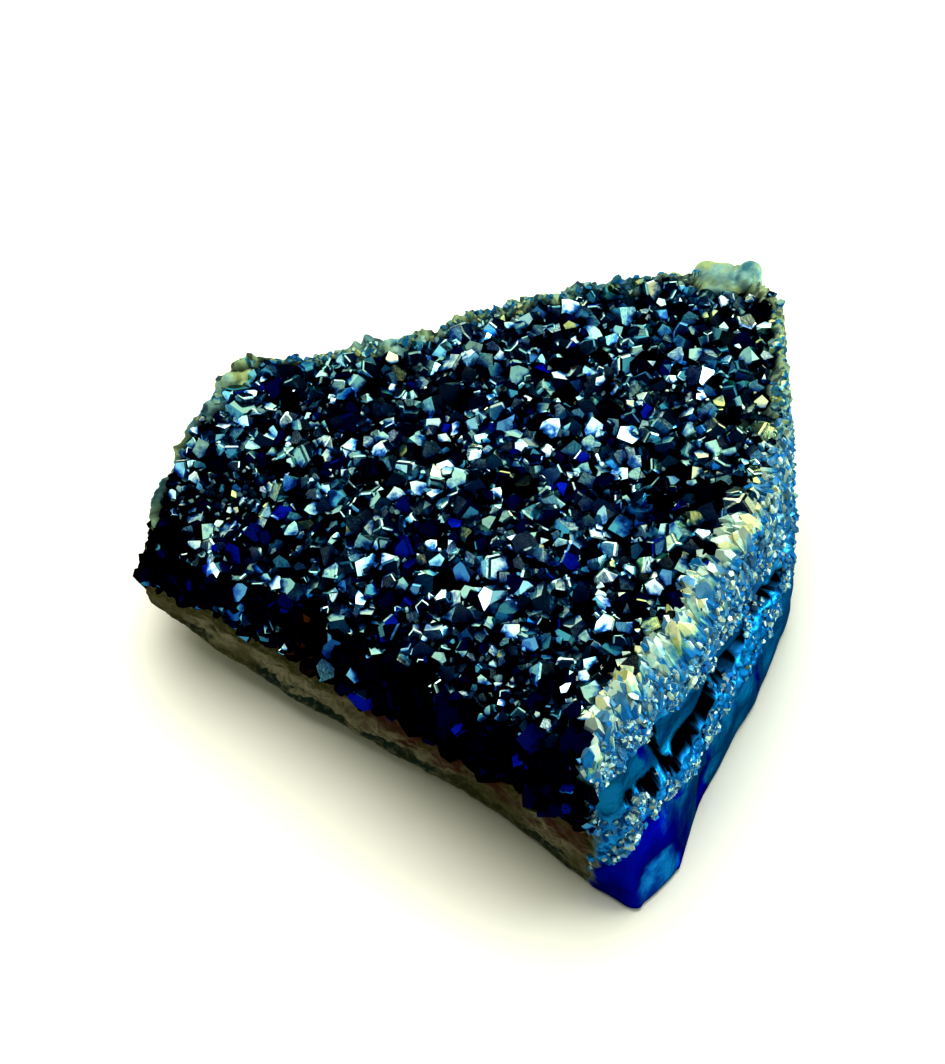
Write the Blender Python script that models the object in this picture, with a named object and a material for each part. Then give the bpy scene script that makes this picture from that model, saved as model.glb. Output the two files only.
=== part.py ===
"""A hand-sized piece of aura-coated druzy agate, modelled as the one solid it grew as.

It is a broken fragment of a geode wall: a thin-to-thick slab of agate with a crust of quartz
points on top, a broken face on its right that shows two rows of crystal columns between agate
bands, and a rind below that flattens out where the stone rests.

Frame: metres, +Z up. The origin lies on the resting plane, under the middle of the stone's box.
The thick broken corner points to -Y and the banded face looks to +X.
"""

import math
import random

import bmesh
import bpy
from mathutils import Matrix, Vector, noise

# ---------------------------------------------------------------- driving dimensions, in metres

# Corners of the slab, anticlockwise seen from above. Each gives its point on the rim, its point
# on the foot below, and how much of the broken side beside it is agate bands (0 none, 1 all).
CORNERS = (
    ((-0.0365, -0.0080, 0.0130), (-0.0380, -0.0075, 0.0065), 0.0),  # left tip
    ((-0.0295, -0.0110, 0.0145), (-0.0305, -0.0125, 0.0045), 0.0),
    ((-0.0180, -0.0185, 0.0155), (-0.0185, -0.0205, 0.0030), 0.0),
    ((-0.0075, -0.0270, 0.0165), (-0.0080, -0.0265, 0.0020), 0.0),
    ((0.0025, -0.0350, 0.0185), (0.0025, -0.0330, 0.0010), 0.0),
    ((0.0105, -0.0405, 0.0200), (0.0110, -0.0405, 0.0005), 0.3),  # front corner
    ((0.0130, -0.0375, 0.0205), (0.0160, -0.0440, 0.0005), 0.7),
    ((0.0155, -0.0335, 0.0215), (0.0205, -0.0395, 0.0005), 1.0),
    ((0.0213, -0.0258, 0.0220), (0.0244, -0.0286, 0.0005), 1.0),
    ((0.0265, -0.0155, 0.0230), (0.0309, -0.0174, 0.0010), 1.0),
    ((0.0320, -0.0050, 0.0235), (0.0361, -0.0050, 0.0015), 1.0),
    ((0.0338, 0.0075, 0.0240), (0.0370, 0.0080, 0.0035), 0.8),
    ((0.0345, 0.0212, 0.0245), (0.0354, 0.0207, 0.0050), 0.2),  # right back corner
    ((0.0305, 0.0265, 0.0245), (0.0310, 0.0260, 0.0050), 0.0),
    ((0.0200, 0.0274, 0.0225), (0.0195, 0.0264, 0.0040), 0.0),
    ((0.0080, 0.0264, 0.0210), (0.0075, 0.0249, 0.0030), 0.0),
    ((-0.0025, 0.0227, 0.0200), (-0.0030, 0.0217, 0.0030), 0.0),
    ((-0.0110, 0.0197, 0.0190), (-0.0115, 0.0192, 0.0035), 0.0),
    ((-0.0200, 0.0180, 0.0185), (-0.0205, 0.0175, 0.0040), 0.0),
    ((-0.0285, 0.0180, 0.0180), (-0.0295, 0.0170, 0.0050), 0.0),  # left back corner
    ((-0.0330, 0.0095, 0.0160), (-0.0340, 0.0090, 0.0055), 0.0),
    ((-0.0360, 0.0020, 0.0140), (-0.0370, 0.0010, 0.0060), 0.0),
)
COLUMN_STEP = 0.0044  # spacing of the vertex columns round the side

# Heights down the side, as shares of the way from rim to foot, each with how far the banded face
# stands out there: crystal row, groove, ledge with the second row, pit line, foot band.
SIDE_LEVELS = (
    (0.00, 0.0),
    (0.10, 0.0006),
    (0.27, 0.0005),
    (0.33, -0.0010),
    (0.45, -0.0012),
    (0.51, 0.0004),
    (0.70, 0.0004),
    (0.76, -0.0008),
    (0.83, 0.0002),
    (1.00, 0.0),
)
ROLL_OUT = 0.0014  # how far the sides without bands bulge past a straight wall
ROLLED_CORNERS = 5  # the crust rolls down over the rim as far round as this corner
ROLLED_LEVEL = 0.4  # and this far down the side, as a share of it
SIDE_ROUGHNESS = 0.0006
ROUGHNESS_SCALE = 260.0  # noise periods to a metre

CROWN = Vector((0.0020, -0.0040, 0.0210))  # middle of the gently domed top
CROWN_SHARES = (0.85, 0.50)  # rings of the top, as shares of the way out to the rim
DOME_POWER = 1.6  # over 1 rounds the top down towards its rim

REST_CENTRE = Vector((0.0060, -0.0070, 0.0))
REST_SHARE = 0.55  # the flat that the stone rests on, as a share of the foot outline
BELLY_SHARE = 0.80  # where the rind turns up from the flat towards the foot
BELLY_RISE = 0.40  # its height there, as a share of the foot's
BELLY_ROUGHNESS = 0.0008
LEAST_RISE = 0.0003  # the rough rind stays this far above the resting plane

CRYSTAL_PITCH = 0.0038  # least distance between two crystals of the crust
CRYSTAL_RADIUS = (0.0022, 0.0031)
CRYSTAL_STAND = (-0.0010, 0.0008)  # how far a crystal's shoulder stands out of the agate
CRYSTAL_ROOT = 0.0020  # how deep it is rooted
CRYSTAL_TAPER = 1.12  # width of a crystal's root over that of its shoulder
CRYSTAL_SKEW = 0.3  # how far its tip may be off centre, as a share of the radius
TIP_ROOM = 1.1  # at least a tip's height over its crystal's radius
POINT_SLOPE = math.radians(50)  # of a quartz point's end faces, from its cross-section
CRYSTAL_LEAN = math.radians(17)
CRUST_TRIES = 9000

COLUMN_PITCH = 0.0030  # of the crystal rows seen side on in the banded face
COLUMN_RADIUS = (0.0013, 0.0019)
COLUMN_ROWS = ((0.31, -0.02), (0.75, 0.52))  # lower and upper end of each row down the side
COLUMN_STAND = (0.0006, 0.0014)  # how far a column stands out of the side
COLUMN_LEAN = math.radians(5)
COLUMN_UNEVEN = 0.03  # how much the ends of the columns in a row differ, as a share of the side

LUMPS = (  # rounded chalcedony lumps on the back rim: centre and radius
    ((0.0285, 0.0255, 0.0228), 0.0034),
    ((0.0330, 0.0235, 0.0230), 0.0030),
    ((-0.0272, 0.0155, 0.0162), 0.0027),
    ((-0.0085, 0.0188, 0.0182), 0.0028),
)
LUMP_ROUGHNESS = 0.0009
PIT_STAND = 0.4  # how far a pit's middle stands out of the side, as a share of its radius
PITS = (  # holes broken into the banded face: level down the side, place in CORNERS, radius
    (0.20, 6.9, 0.0022),
    (0.62, 7.6, 0.0016),
    (0.66, 8.5, 0.0015),
    (0.60, 9.4, 0.0017),
    (0.80, 7.2, 0.0015),
)

SEED = 41


# ---------------------------------------------------------------- the slab


def side_columns():
    """Rim point, foot point, banding and place in CORNERS of every vertex column, in order."""
    columns = []
    for index, (rim, foot, banded) in enumerate(CORNERS):
        next_rim, next_foot, next_banded = CORNERS[(index + 1) % len(CORNERS)]
        length = (Vector(next_foot) - Vector(foot)).length
        steps = max(1, round(length / COLUMN_STEP))
        for step in range(steps):
            share = step / steps
            columns.append(
                (
                    Vector(rim).lerp(Vector(next_rim), share),
                    Vector(foot).lerp(Vector(next_foot), share),
                    banded + (next_banded - banded) * share,
                    index + share,
                )
            )
    return columns


def outward(rim):
    """Level direction from the crown out through a rim point."""
    way = rim - CROWN
    way.z = 0
    return way.normalized()


def roughened(point, amount):
    return point + amount * noise.noise_vector(point * ROUGHNESS_SCALE)


def side_point(column, level, stand_out):
    rim, foot, banded, _ = column
    roll = ROLL_OUT * math.sin(math.pi * level) * (1 - banded)
    point = rim.lerp(foot, level) + outward(rim) * (stand_out * banded + roll)
    return roughened(point, SIDE_ROUGHNESS)


def crown_point(column, share):
    rim = column[0]
    point = CROWN.lerp(rim, share)
    point.z = CROWN.z + (rim.z - CROWN.z) * share**DOME_POWER
    return point


def belly_point(column):
    foot = column[1]
    point = roughened(REST_CENTRE.lerp(foot, BELLY_SHARE), BELLY_ROUGHNESS)
    point.z = max(foot.z * BELLY_RISE + point.z - BELLY_SHARE * foot.z, LEAST_RISE)
    return point


def rest_point(column):
    point = REST_CENTRE.lerp(column[1], REST_SHARE)
    point.z = 0
    return point


def add_ring(bm, points):
    return [bm.verts.new(point) for point in points]


def add_strip(bm, upper, lower):
    """The faces between two rings, facing out."""
    count = len(upper)
    return [
        bm.faces.new((upper[i], lower[i], lower[(i + 1) % count], upper[(i + 1) % count]))
        for i in range(count)
    ]


def make_slab(columns):
    """The agate without its crystals, and the faces of it that crystals cover."""
    bm = bmesh.new()
    rings = [
        add_ring(bm, [side_point(column, level, stand) for column in columns])
        for level, stand in SIDE_LEVELS
    ]
    crust = []
    for index in range(len(rings) - 1):
        strip = add_strip(bm, rings[index], rings[index + 1])
        if SIDE_LEVELS[index][0] < ROLLED_LEVEL:
            rolled = zip(strip, columns)
            crust += [face for face, column in rolled if column[3] < ROLLED_CORNERS]

    outer = rings[0]
    for share in CROWN_SHARES:
        inner = add_ring(bm, [crown_point(column, share) for column in columns])
        crust += add_strip(bm, inner, outer)
        outer = inner
    middle = bm.verts.new(CROWN)
    for i, vertex in enumerate(outer):
        crust.append(bm.faces.new((middle, vertex, outer[(i + 1) % len(outer)])))

    belly = add_ring(bm, [belly_point(column) for column in columns])
    rest = add_ring(bm, [rest_point(column) for column in columns])
    add_strip(bm, rings[-1], belly)
    add_strip(bm, belly, rest)
    bm.faces.new(reversed(rest))
    return bm, crust


def triangulate(bm):
    """Splits the bent quads of the slab, so that every face that is joined or cut is flat."""
    bent = [face for face in bm.faces if len(face.verts) == 4]
    bmesh.ops.triangulate(bm, faces=bent)


# ---------------------------------------------------------------- crystals


def axis_matrix(at, axis, spin):
    turn = axis.to_track_quat("Z", "Y").to_matrix().to_4x4()
    return Matrix.Translation(at) @ turn @ Matrix.Rotation(spin, 4, "Z")


def crust_spots(crust):
    """Places for crystals, spread at random over the crust but never closer than the pitch."""
    weights = [face.calc_area() for face in crust]
    spots = []
    for face in random.choices(crust, weights, k=CRUST_TRIES):
        corners = [vertex.co for vertex in face.verts]
        middle = corners[0].lerp(corners[1], random.random())
        across = corners[-1].lerp(corners[-2], random.random())
        at = middle.lerp(across, random.random())
        if all((at - other).length > CRYSTAL_PITCH for other, _ in spots):
            spots.append((at, face.normal.copy()))
    return spots


def leaning(axis, angle):
    lean = Vector([random.gauss(0, 0.5) for _ in range(3)])
    return (axis.normalized() + math.tan(angle) * lean).normalized()


def crust_crystals(crust):
    """(place, radius, length) of each crystal of the crust."""
    crystals = []
    for at, normal in crust_spots(crust):
        radius = random.uniform(*CRYSTAL_RADIUS)
        stand = random.uniform(*CRYSTAL_STAND)
        axis = leaning(normal, CRYSTAL_LEAN)
        root = at - axis * CRYSTAL_ROOT
        place = axis_matrix(root, axis, random.uniform(0, math.pi))
        crystals.append((place, radius, CRYSTAL_ROOT + stand))
    return crystals


def column_crystals(columns):
    """(place, radius, length) of the crystals that the banded face shows side on, in two rows."""
    crystals = []
    for low, high in COLUMN_ROWS:
        last = None
        for column in columns:
            uneven = random.uniform(-COLUMN_UNEVEN, COLUMN_UNEVEN)
            foot_end = column[0].lerp(column[1], low + uneven)
            close = last is not None and (foot_end - last).length < COLUMN_PITCH
            if column[2] < 0.5 or close:
                continue
            last = foot_end
            radius = random.uniform(*COLUMN_RADIUS)
            root = foot_end + outward(column[0]) * (random.uniform(*COLUMN_STAND) - radius)
            axis = leaning(column[0] - column[1], COLUMN_LEAN)
            length = (column[0] - column[1]).length * (low - high) - radius
            place = axis_matrix(root, axis, random.uniform(0, math.pi))
            crystals.append((place, radius, length))
    return crystals


def add_crystal(bm, place, radius, length):
    """A six-sided quartz point: a prism that tapers a little, under an off-centre pyramid."""
    root = radius * CRYSTAL_TAPER
    base = add_ring(bm, [place @ hexagon_corner(i, root, 0) for i in range(6)])
    shoulder = add_ring(bm, [place @ hexagon_corner(i, radius, length) for i in range(6)])
    skew = radius * CRYSTAL_SKEW
    tip_height = radius * math.cos(math.pi / 6) * math.tan(POINT_SLOPE)
    tip_at = (random.uniform(-skew, skew), random.uniform(-skew, skew), length + tip_height)
    tip = bm.verts.new(place @ Vector(tip_at))
    for i in range(6):
        following = (i + 1) % 6
        bm.faces.new((base[i], base[following], shoulder[following], shoulder[i]))
        bm.faces.new((shoulder[i], shoulder[following], tip))
    bm.faces.new(reversed(base))


def hexagon_corner(index, radius, height):
    angle = index * math.pi / 3
    return Vector((radius * math.cos(angle), radius * math.sin(angle), height))


def ball_round(crystal):
    """Centre and radius of a ball that holds the whole crystal."""
    place, radius, length = crystal
    whole = length + TIP_ROOM * radius
    return place @ Vector((0, 0, whole / 2)), math.hypot(CRYSTAL_TAPER * radius, whole / 2)


def apart(one, other):
    middle, reach = ball_round(one)
    other_middle, other_reach = ball_round(other)
    return (middle - other_middle).length > reach + other_reach


def sorted_into_sets(crystals):
    """The crystals shared out so that none touches another of its own set."""
    sets = []
    for crystal in crystals:
        for group in sets:
            if all(apart(crystal, other) for other in group):
                group.append(crystal)
                break
        else:
            sets.append([crystal])
    return sets


# ---------------------------------------------------------------- objects and joins


def mesh_object(name, bm):
    bm.normal_update()
    mesh = bpy.data.meshes.new(name)
    bm.to_mesh(mesh)
    bm.free()
    made = bpy.data.objects.new(name, mesh)
    bpy.context.scene.collection.objects.link(made)
    return made


def join(stone, helper, operation):
    """Adds or takes away a helper's shape for good, and drops the helper."""
    boolean = stone.modifiers.new(helper.name, "BOOLEAN")
    boolean.operation = operation
    boolean.object = helper
    bpy.context.view_layer.objects.active = stone
    bpy.ops.object.modifier_apply(modifier=boolean.name)
    bpy.data.objects.remove(helper)


def make_lumps(name, lumps):
    """Rough balls, each given by its centre and radius."""
    bm = bmesh.new()
    for centre, radius in lumps:
        place = Matrix.Translation(centre)
        bmesh.ops.create_icosphere(bm, subdivisions=2, radius=radius, matrix=place)
    for vertex in bm.verts:
        vertex.co = roughened(vertex.co, LUMP_ROUGHNESS)
    return mesh_object(name, bm)


def pit_lumps(columns):
    lumps = []
    for level, position, radius in PITS:
        column = min(columns, key=lambda c: abs(c[3] - position))
        centre = column[0].lerp(column[1], level) + outward(column[0]) * PIT_STAND * radius
        lumps.append((centre, radius))
    return lumps


def coated_agate():
    material = bpy.data.materials.new("aura_coated_agate")
    material.use_nodes = True
    shader = material.node_tree.nodes["Principled BSDF"]
    shader.inputs["Base Color"].default_value = (0.02, 0.12, 0.28, 1)
    shader.inputs["Roughness"].default_value = 0.25
    shader.inputs["Metallic"].default_value = 0.8
    return material


def shells_of(bm):
    """The closed surfaces of a mesh, each as its list of vertices."""
    waiting = set(bm.verts)
    shells = []
    while waiting:
        shell = [waiting.pop()]
        for vertex in shell:
            near = {edge.other_vert(vertex) for edge in vertex.link_edges} & waiting
            shell.extend(near)
            waiting -= near
        shells.append(shell)
    return shells


def fill_pockets(stone):
    """Makes the pockets sealed in between crystals solid, by keeping the outer surface alone."""
    bm = bmesh.new()
    bm.from_mesh(stone.data)
    shells = sorted(shells_of(bm), key=len)
    inner = [vertex for shell in shells[:-1] for vertex in shell]
    bmesh.ops.delete(bm, geom=inner, context="VERTS")
    bm.to_mesh(stone.data)
    bm.free()


def centre_on_box(stone):
    """Puts the origin on the resting plane, under the middle of the finished stone's box."""
    points = [vertex.co for vertex in stone.data.vertices]
    low = Vector([min(point[i] for point in points) for i in range(3)])
    high = Vector([max(point[i] for point in points) for i in range(3)])
    middle = (low + high) / 2
    stone.data.transform(Matrix.Translation((-middle.x, -middle.y, -low.z)))


def main():
    for old in list(bpy.data.objects):
        bpy.data.objects.remove(old)
    random.seed(SEED)
    noise.seed_set(SEED)

    columns = side_columns()
    bm, crust = make_slab(columns)
    bm.normal_update()
    crystals = column_crystals(columns) + crust_crystals(crust)
    triangulate(bm)
    stone = mesh_object("druzy_agate", bm)
    stone.data.materials.append(coated_agate())

    join(stone, make_lumps("pits", pit_lumps(columns)), "DIFFERENCE")
    for number, group in enumerate(sorted_into_sets(crystals), 1):
        points = bmesh.new()
        for crystal in group:
            add_crystal(points, *crystal)
        join(stone, mesh_object(f"crystals_{number}", points), "UNION")
    for number, lump in enumerate(LUMPS, 1):
        join(stone, make_lumps(f"lump_{number}", [lump]), "UNION")
    fill_pockets(stone)
    centre_on_box(stone)


main()
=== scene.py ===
"""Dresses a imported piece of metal-coated druzy agate and sets it on a white studio floor.

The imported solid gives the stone's place, size and general form. The operators here make what is
seen in its stead: the agate slab with its broken faces and rind, the crust of quartz points on
top, the columns and sugary quartz that the banded face shows side on, and the chalcedony lumps of
the back rim. The stage operator adds the floor, the lights and the camera.

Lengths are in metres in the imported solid's frame: +Z up, with the origin on the resting plane.
"""

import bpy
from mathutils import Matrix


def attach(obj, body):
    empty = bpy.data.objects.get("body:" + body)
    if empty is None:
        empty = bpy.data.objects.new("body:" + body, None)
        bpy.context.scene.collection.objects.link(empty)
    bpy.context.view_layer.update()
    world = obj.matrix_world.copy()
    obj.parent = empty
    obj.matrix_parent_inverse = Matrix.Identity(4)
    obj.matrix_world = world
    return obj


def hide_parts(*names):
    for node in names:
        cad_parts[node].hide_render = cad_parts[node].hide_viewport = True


bl_info = {
    "name": "Coated Druzy Agate",
    "version": (1, 0, 0),
    "blender": (4, 5, 0),
    "location": "3D View > Sidebar > Agate",
    "description": "Makes a coated druzy agate with its crystal crust, and a stage for it",
    "category": "Add Mesh",
}

import math
from functools import partial

import bpy
import numpy as np
from bpy.props import FloatProperty, FloatVectorProperty, IntProperty, PointerProperty
from mathutils import Matrix, Vector, noise
from mathutils.bvhtree import BVHTree

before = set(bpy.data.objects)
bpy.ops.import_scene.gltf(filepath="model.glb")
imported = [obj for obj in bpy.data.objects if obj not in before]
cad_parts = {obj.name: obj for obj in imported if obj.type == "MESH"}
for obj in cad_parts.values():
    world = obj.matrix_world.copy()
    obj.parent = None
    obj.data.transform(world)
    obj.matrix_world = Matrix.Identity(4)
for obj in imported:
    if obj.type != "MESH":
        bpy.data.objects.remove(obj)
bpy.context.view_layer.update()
NODE = "druzy_agate"
BODY = "root"
MM = 0.001


def linear(code):
    """An sRGB hex colour as linear RGBA."""
    channels = [int(code[i : i + 2], 16) / 255 for i in (1, 3, 5)]
    lit = (c / 12.92 if c < 0.04045 else ((c + 0.055) / 1.055) ** 2.4 for c in channels)
    return (*lit, 1)


# ---------------------------------------------------------------- settings


def colour_setting(name, description, code):
    return FloatVectorProperty(
        name=name, description=description, default=linear(code), size=4, min=0, max=1,
        subtype="COLOR",
    )


def length_setting(name, description, millimetres):
    return FloatProperty(
        name=name, description=description, default=millimetres * MM, min=0, unit="LENGTH",
        precision=4,
    )


def count_setting(name, description, number, least=0):
    return IntProperty(name=name, description=description, default=number, min=least)


def angle_setting(name, description, degrees):
    return FloatProperty(
        name=name, description=description, default=math.radians(degrees), min=0, subtype="ANGLE",
        unit="ROTATION",
    )


class SlabSettings(bpy.types.PropertyGroup):
    """Sizes of the slab's own surface."""

    columns: count_setting("Columns", "Points round the slab", 720, 120)
    fracture: length_setting("Fracture Relief", "Height of the broken sides' relief", 0.75)
    belt: length_setting("Rind Relief", "Height of the relief of the bare belt", 0.45)
    under: length_setting("Underside Relief", "Height of the rind's bumps underneath", 0.30)
    pit_edge: length_setting("Pit Raggedness", "How far the pits' edges wander", 0.35)


class CrustSettings(bpy.types.PropertyGroup):
    """Sizes of the quartz points and how they grow."""

    seed: count_setting("Seed", "Start of the random numbers", 7)
    lean: angle_setting("Lean", "Usual lean of a point from upright", 19)
    stand: FloatProperty(
        name="Stand", description="How far a point's shoulder stands out, in its own widths",
        default=0.10, min=0, subtype="FACTOR",
    )
    closeness: FloatProperty(
        name="Closeness", description="Least distance of two points, in their mean widths",
        default=0.70, min=0.3, subtype="FACTOR",
    )
    face_columns: count_setting("Face Columns", "Columns tried on the banded face", 900)
    face_sugar: count_setting("Face Sugar", "Small points tried on the banded face", 6500)
    rim_sugar: count_setting("Rim Sugar", "Small points tried on the bare lip", 900)


class FilmSettings(bpy.types.PropertyGroup):
    """Colours that the metal film's thickness gives, the bare stone's, and a near black that is
    painted shade.
    """

    pale: colour_setting("Pale", "Palest green-white faces", "#cfe2d4")
    sage: colour_setting("Sage", "Grey-green faces", "#98b9ac")
    teal: colour_setting("Teal", "Blue-green faces", "#45808a")
    steel: colour_setting("Steel", "Steel blue faces", "#5f92b0")
    cobalt: colour_setting("Cobalt", "Bright blue faces", "#051a7c")
    navy: colour_setting("Navy", "Dark blue faces", "#020634")
    straw: colour_setting("Straw", "Pale yellow faces", "#dfe0b6")
    olive: colour_setting("Olive", "Olive yellow faces", "#b6ba7e")
    # Deep is near black: painted shade in the gaps between points, on the slab under the crust, in
    # the pits, and on whole faces.
    deep: colour_setting("Deep", "Film at the bottom of the gaps", "#01010a")
    band: colour_setting("Smooth Band", "Film on the smooth agate bands", "#116c96")
    azure: colour_setting("Azure", "Film between the sugary grains", "#2389c6")
    ink: colour_setting("Ink Blue", "Thickest film, low on the front corner", "#000e92")
    strip: colour_setting("Back Strip", "Thin yellow-green film at the right back", "#a9ba86")
    rust: colour_setting("Rust", "Iron-stained top of the bare belt", "#421a02")
    moss: colour_setting("Moss", "Olive-brown upper stripe of the bare belt", "#474413")
    clay: colour_setting("Clay", "Bare grey-beige stone", "#837f66")
    stone: colour_setting("Stone", "Uncoated grey agate of the broken sides", "#5e5c48")
    skin: colour_setting("Skin", "Green-black rind", "#182c1f")


class StageSettings(bpy.types.PropertyGroup):
    """The camera and the lights."""

    lens: FloatProperty(name="Lens", description="Focal length in millimetres", default=65, min=10)
    distance: length_setting("Distance", "From the camera to its target", 220.8)
    elevation: angle_setting("Elevation", "The camera's height above the floor, as an angle", 50)
    target: FloatVectorProperty(
        name="Target", description="Where the camera looks", size=3, subtype="XYZ", unit="LENGTH",
        default=(-0.389 * MM, 8.071 * MM, 8.0 * MM),
    )
    key: FloatProperty(name="Key", description="Strength of the key light", default=4.2, min=0)
    softness: angle_setting("Softness", "How wide the key light looks from the stone", 70)
    paper: colour_setting("Paper", "The floor's white", "#f6f5ef")


# ---------------------------------------------------------------- the slab's form

# Where the corners below lie from the frame's origin, which is under the middle of the solid's box.
BOX_MIDDLE = np.array((-0.511, -7.171, 0.0)) * MM

# Corners of the slab as the solid has them, in mm, anticlockwise from above: the point on the rim
# and the point on the foot below it. A place on the slab is a number along them.
CORNERS = (
    ((-36.5, -8.0, 13.0), (-38.0, -7.5, 6.5)),  # left tip
    ((-29.5, -11.0, 14.5), (-30.5, -12.5, 4.5)),
    ((-18.0, -18.5, 15.5), (-18.5, -20.5, 3.0)),
    ((-7.5, -27.0, 16.5), (-8.0, -26.5, 2.0)),
    ((2.5, -35.0, 18.5), (2.5, -33.0, 1.0)),
    ((10.5, -40.5, 20.0), (11.0, -40.5, 0.5)),  # front corner
    ((13.0, -37.5, 20.5), (16.0, -44.0, 0.5)),
    ((15.5, -33.5, 21.5), (20.5, -39.5, 0.5)),
    ((21.3, -25.8, 22.0), (24.4, -28.6, 0.5)),
    ((26.5, -15.5, 23.0), (30.9, -17.4, 1.0)),
    ((32.0, -5.0, 23.5), (36.1, -5.0, 1.5)),
    ((33.8, 7.5, 24.0), (37.0, 8.0, 3.5)),
    ((34.5, 21.2, 24.5), (35.4, 20.7, 5.0)),  # right back corner
    ((30.5, 26.5, 24.5), (31.0, 26.0, 5.0)),
    ((20.0, 27.4, 22.5), (19.5, 26.4, 4.0)),
    ((8.0, 26.4, 21.0), (7.5, 24.9, 3.0)),
    ((-2.5, 22.7, 20.0), (-3.0, 21.7, 3.0)),
    ((-11.0, 19.7, 19.0), (-11.5, 19.2, 3.5)),
    ((-20.0, 18.0, 18.5), (-20.5, 17.5, 4.0)),
    ((-28.5, 18.0, 18.0), (-29.5, 17.0, 5.0)),  # left back corner
    ((-33.0, 9.5, 16.0), (-34.0, 9.0, 5.5)),
    ((-36.0, 2.0, 14.0), (-37.0, 1.0, 6.0)),
)
ROLLED_END = (4.95, 5.2)  # the crust rolls down over the rim from the left tip to about here
ROLLED_START = (21.2, 21.7)
CRUST_FOOT = 0.46  # and ends at this level down the side there
BANDED = (5.0, 5.25, 12.1, 12.7)  # the side that shows the agate's bands begins and ends here

CORNER_REACH = 1.2 * MM  # the corners between straight stretches are rounded over this far
CROWN = np.array((2.0, -4.0, 21.0)) * MM  # middle of the domed top
DOME_POWER = 1.6  # over 1 rounds the top down towards its rim
REST_CENTRE = np.array((6.0, -7.0, 0.0)) * MM
REST_SHARE = 0.55  # the flat that the stone rests on, as a share of the foot's outline
BELLY_POWER = 1.6  # over 1 rounds the rind up from there to the foot
CROWN_SHARES = np.r_[0, 0.02, np.linspace(0.08, 0.72, 8), np.linspace(0.75, 0.985, 14)]
SIDE_ROWS, UNDER_ROWS = 68, 34

# Over the banded face the crust's edge is broken off on a slope: by place, how far in from the rim
# the slope starts and how far down the side it ends, in mm.
SLOPE = (
    (4.7, 0.0, 0.0), (5.0, 2.0, 0.7), (5.5, 4.0, 1.5), (6.2, 4.8, 1.9), (7.0, 4.4, 1.8),
    (8.0, 3.4, 1.5), (9.0, 2.8, 1.2), (10.0, 2.2, 0.9), (10.6, 0.8, 0.3), (11.0, 0.0, 0.0),
)

# Round the back and the right the crust stops short of the rim, which stands up as a smooth lip:
# where it begins and ends, and its width and rise in mm.
LIP_PLACES = (10.5, 19.9)
LIP_WIDTH, LIP_RISE = 1.25, 0.7

# Where the agate's layers end on the banded face, as levels from rim to foot, by place in CORNERS:
# the long columns, the smooth band under them, the sugary quartz, and then the lower band.
BAND_ENDS = (
    (4.9, 0.14, 0.30, 0.84),
    (5.25, 0.14, 0.38, 0.80),
    (5.5, 0.12, 0.46, 0.70),
    (5.9, 0.12, 0.42, 0.60),
    (6.4, 0.12, 0.39, 0.52),
    (7.2, 0.16, 0.43, 0.57),
    (7.8, 0.23, 0.455, 0.66),
    (8.5, 0.29, 0.465, 0.74),
    (9.5, 0.38, 0.51, 0.78),
    (10.5, 0.39, 0.54, 0.80),
    (12.6, 0.39, 0.54, 0.80),
)
# How far each layer stands out in mm. The whole numbers are the layers' ends.
BAND_STANDS = (
    (0.0, 0.0), (0.5, 0.35), (0.92, 0.30), (1.08, -0.40), (1.5, -0.75), (1.9, -0.9), (2.08, -0.5),
    (2.25, 0.3), (2.85, 0.35), (3.12, -0.15), (3.5, 0.1), (4.0, 0.0),
)
# Gaps broken into the banded face: place and level of both ends, half width in mm at each end, and
# depth in mm.
PITS = (
    (8.42, 0.470, 8.95, 0.505, 0.75, 0.60, 2.6),
    (7.48, 0.480, 8.22, 0.475, 0.75, 0.85, 2.6),
    (7.30, 0.480, 7.42, 0.500, 0.55, 0.60, 1.9),
    (6.64, 0.385, 7.02, 0.430, 0.55, 0.60, 1.9),
    (6.20, 0.370, 6.30, 0.385, 0.40, 0.45, 1.5),
    (9.25, 0.500, 9.85, 0.590, 0.35, 0.45, 1.8),
    (10.3, 0.780, 10.6, 0.740, 0.40, 0.30, 1.3),
    (8.80, 0.200, 8.93, 0.060, 0.30, 0.40, 1.4),
    (7.13, 0.190, 7.24, 0.460, 1.05, 0.25, 2.2),  # the notch under the columns
)
# How a gap falls off, in half widths from its middle: its inside, painted near black as shade, its
# wall, and the calmer ground round it.
PIT_SHADE, PIT_WALL, PIT_GROUND = (1.15, 1.40), (0.65, 1.15), (1.2, 2.2)
CHIP = (6.65, 0.92, 3.6, 0.3)  # shallow chip at the front: place, level, radius and depth in mm

# The relief of each kind of ground, from its coarsest noise to its finest.
SMOOTH_BAND = (0.50, 0.03)  # mm of swell and of lumps
SUGARY_BAND = (0.25, 0.45, 0.25)  # mm of swell, of lumps and of grain
FRACTURE = (0.7, 0.7, 0.55, 0.25)  # shares of shell-like ridges, of hills, of lumps and of grain
BELT = (1.0, 0.6, 0.2)  # shares of hills, of lumps and of grain
BELT_STANDS = (0.5, -0.4)  # mm that the crust above the bare belt stands out, and the belt itself
BORDER_WANDER = 0.14  # how far the borders between the sides wander, in places
CROWN_RELIEF, SLOPE_RELIEF = 0.35 * MM, 0.5 * MM

# Chalcedony lumps on the back rim in mm: centre and radius.
LUMPS = (
    ((28.0, 26.2, 23.0), 3.1), ((30.9, 25.6, 23.4), 2.6), ((-28.2, 15.9, 16.6), 2.3),
    ((-24.6, 17.4, 17.0), 1.8), ((-9.5, 19.4, 18.6), 2.0), ((-6.6, 20.6, 18.9), 1.3),
    ((9.0, 25.6, 20.4), 1.6), ((23.4, 26.8, 22.0), 1.7), ((16.0, 26.6, 21.1), 1.4),
)
LUMP_CENTRES = [np.array(centre) * MM - BOX_MIDDLE for centre, _ in LUMPS]


def smoothstep(low, high, values):
    share = np.clip((np.asarray(values) - low) / (high - low), 0, 1)
    return share * share * (3 - 2 * share)


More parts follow.
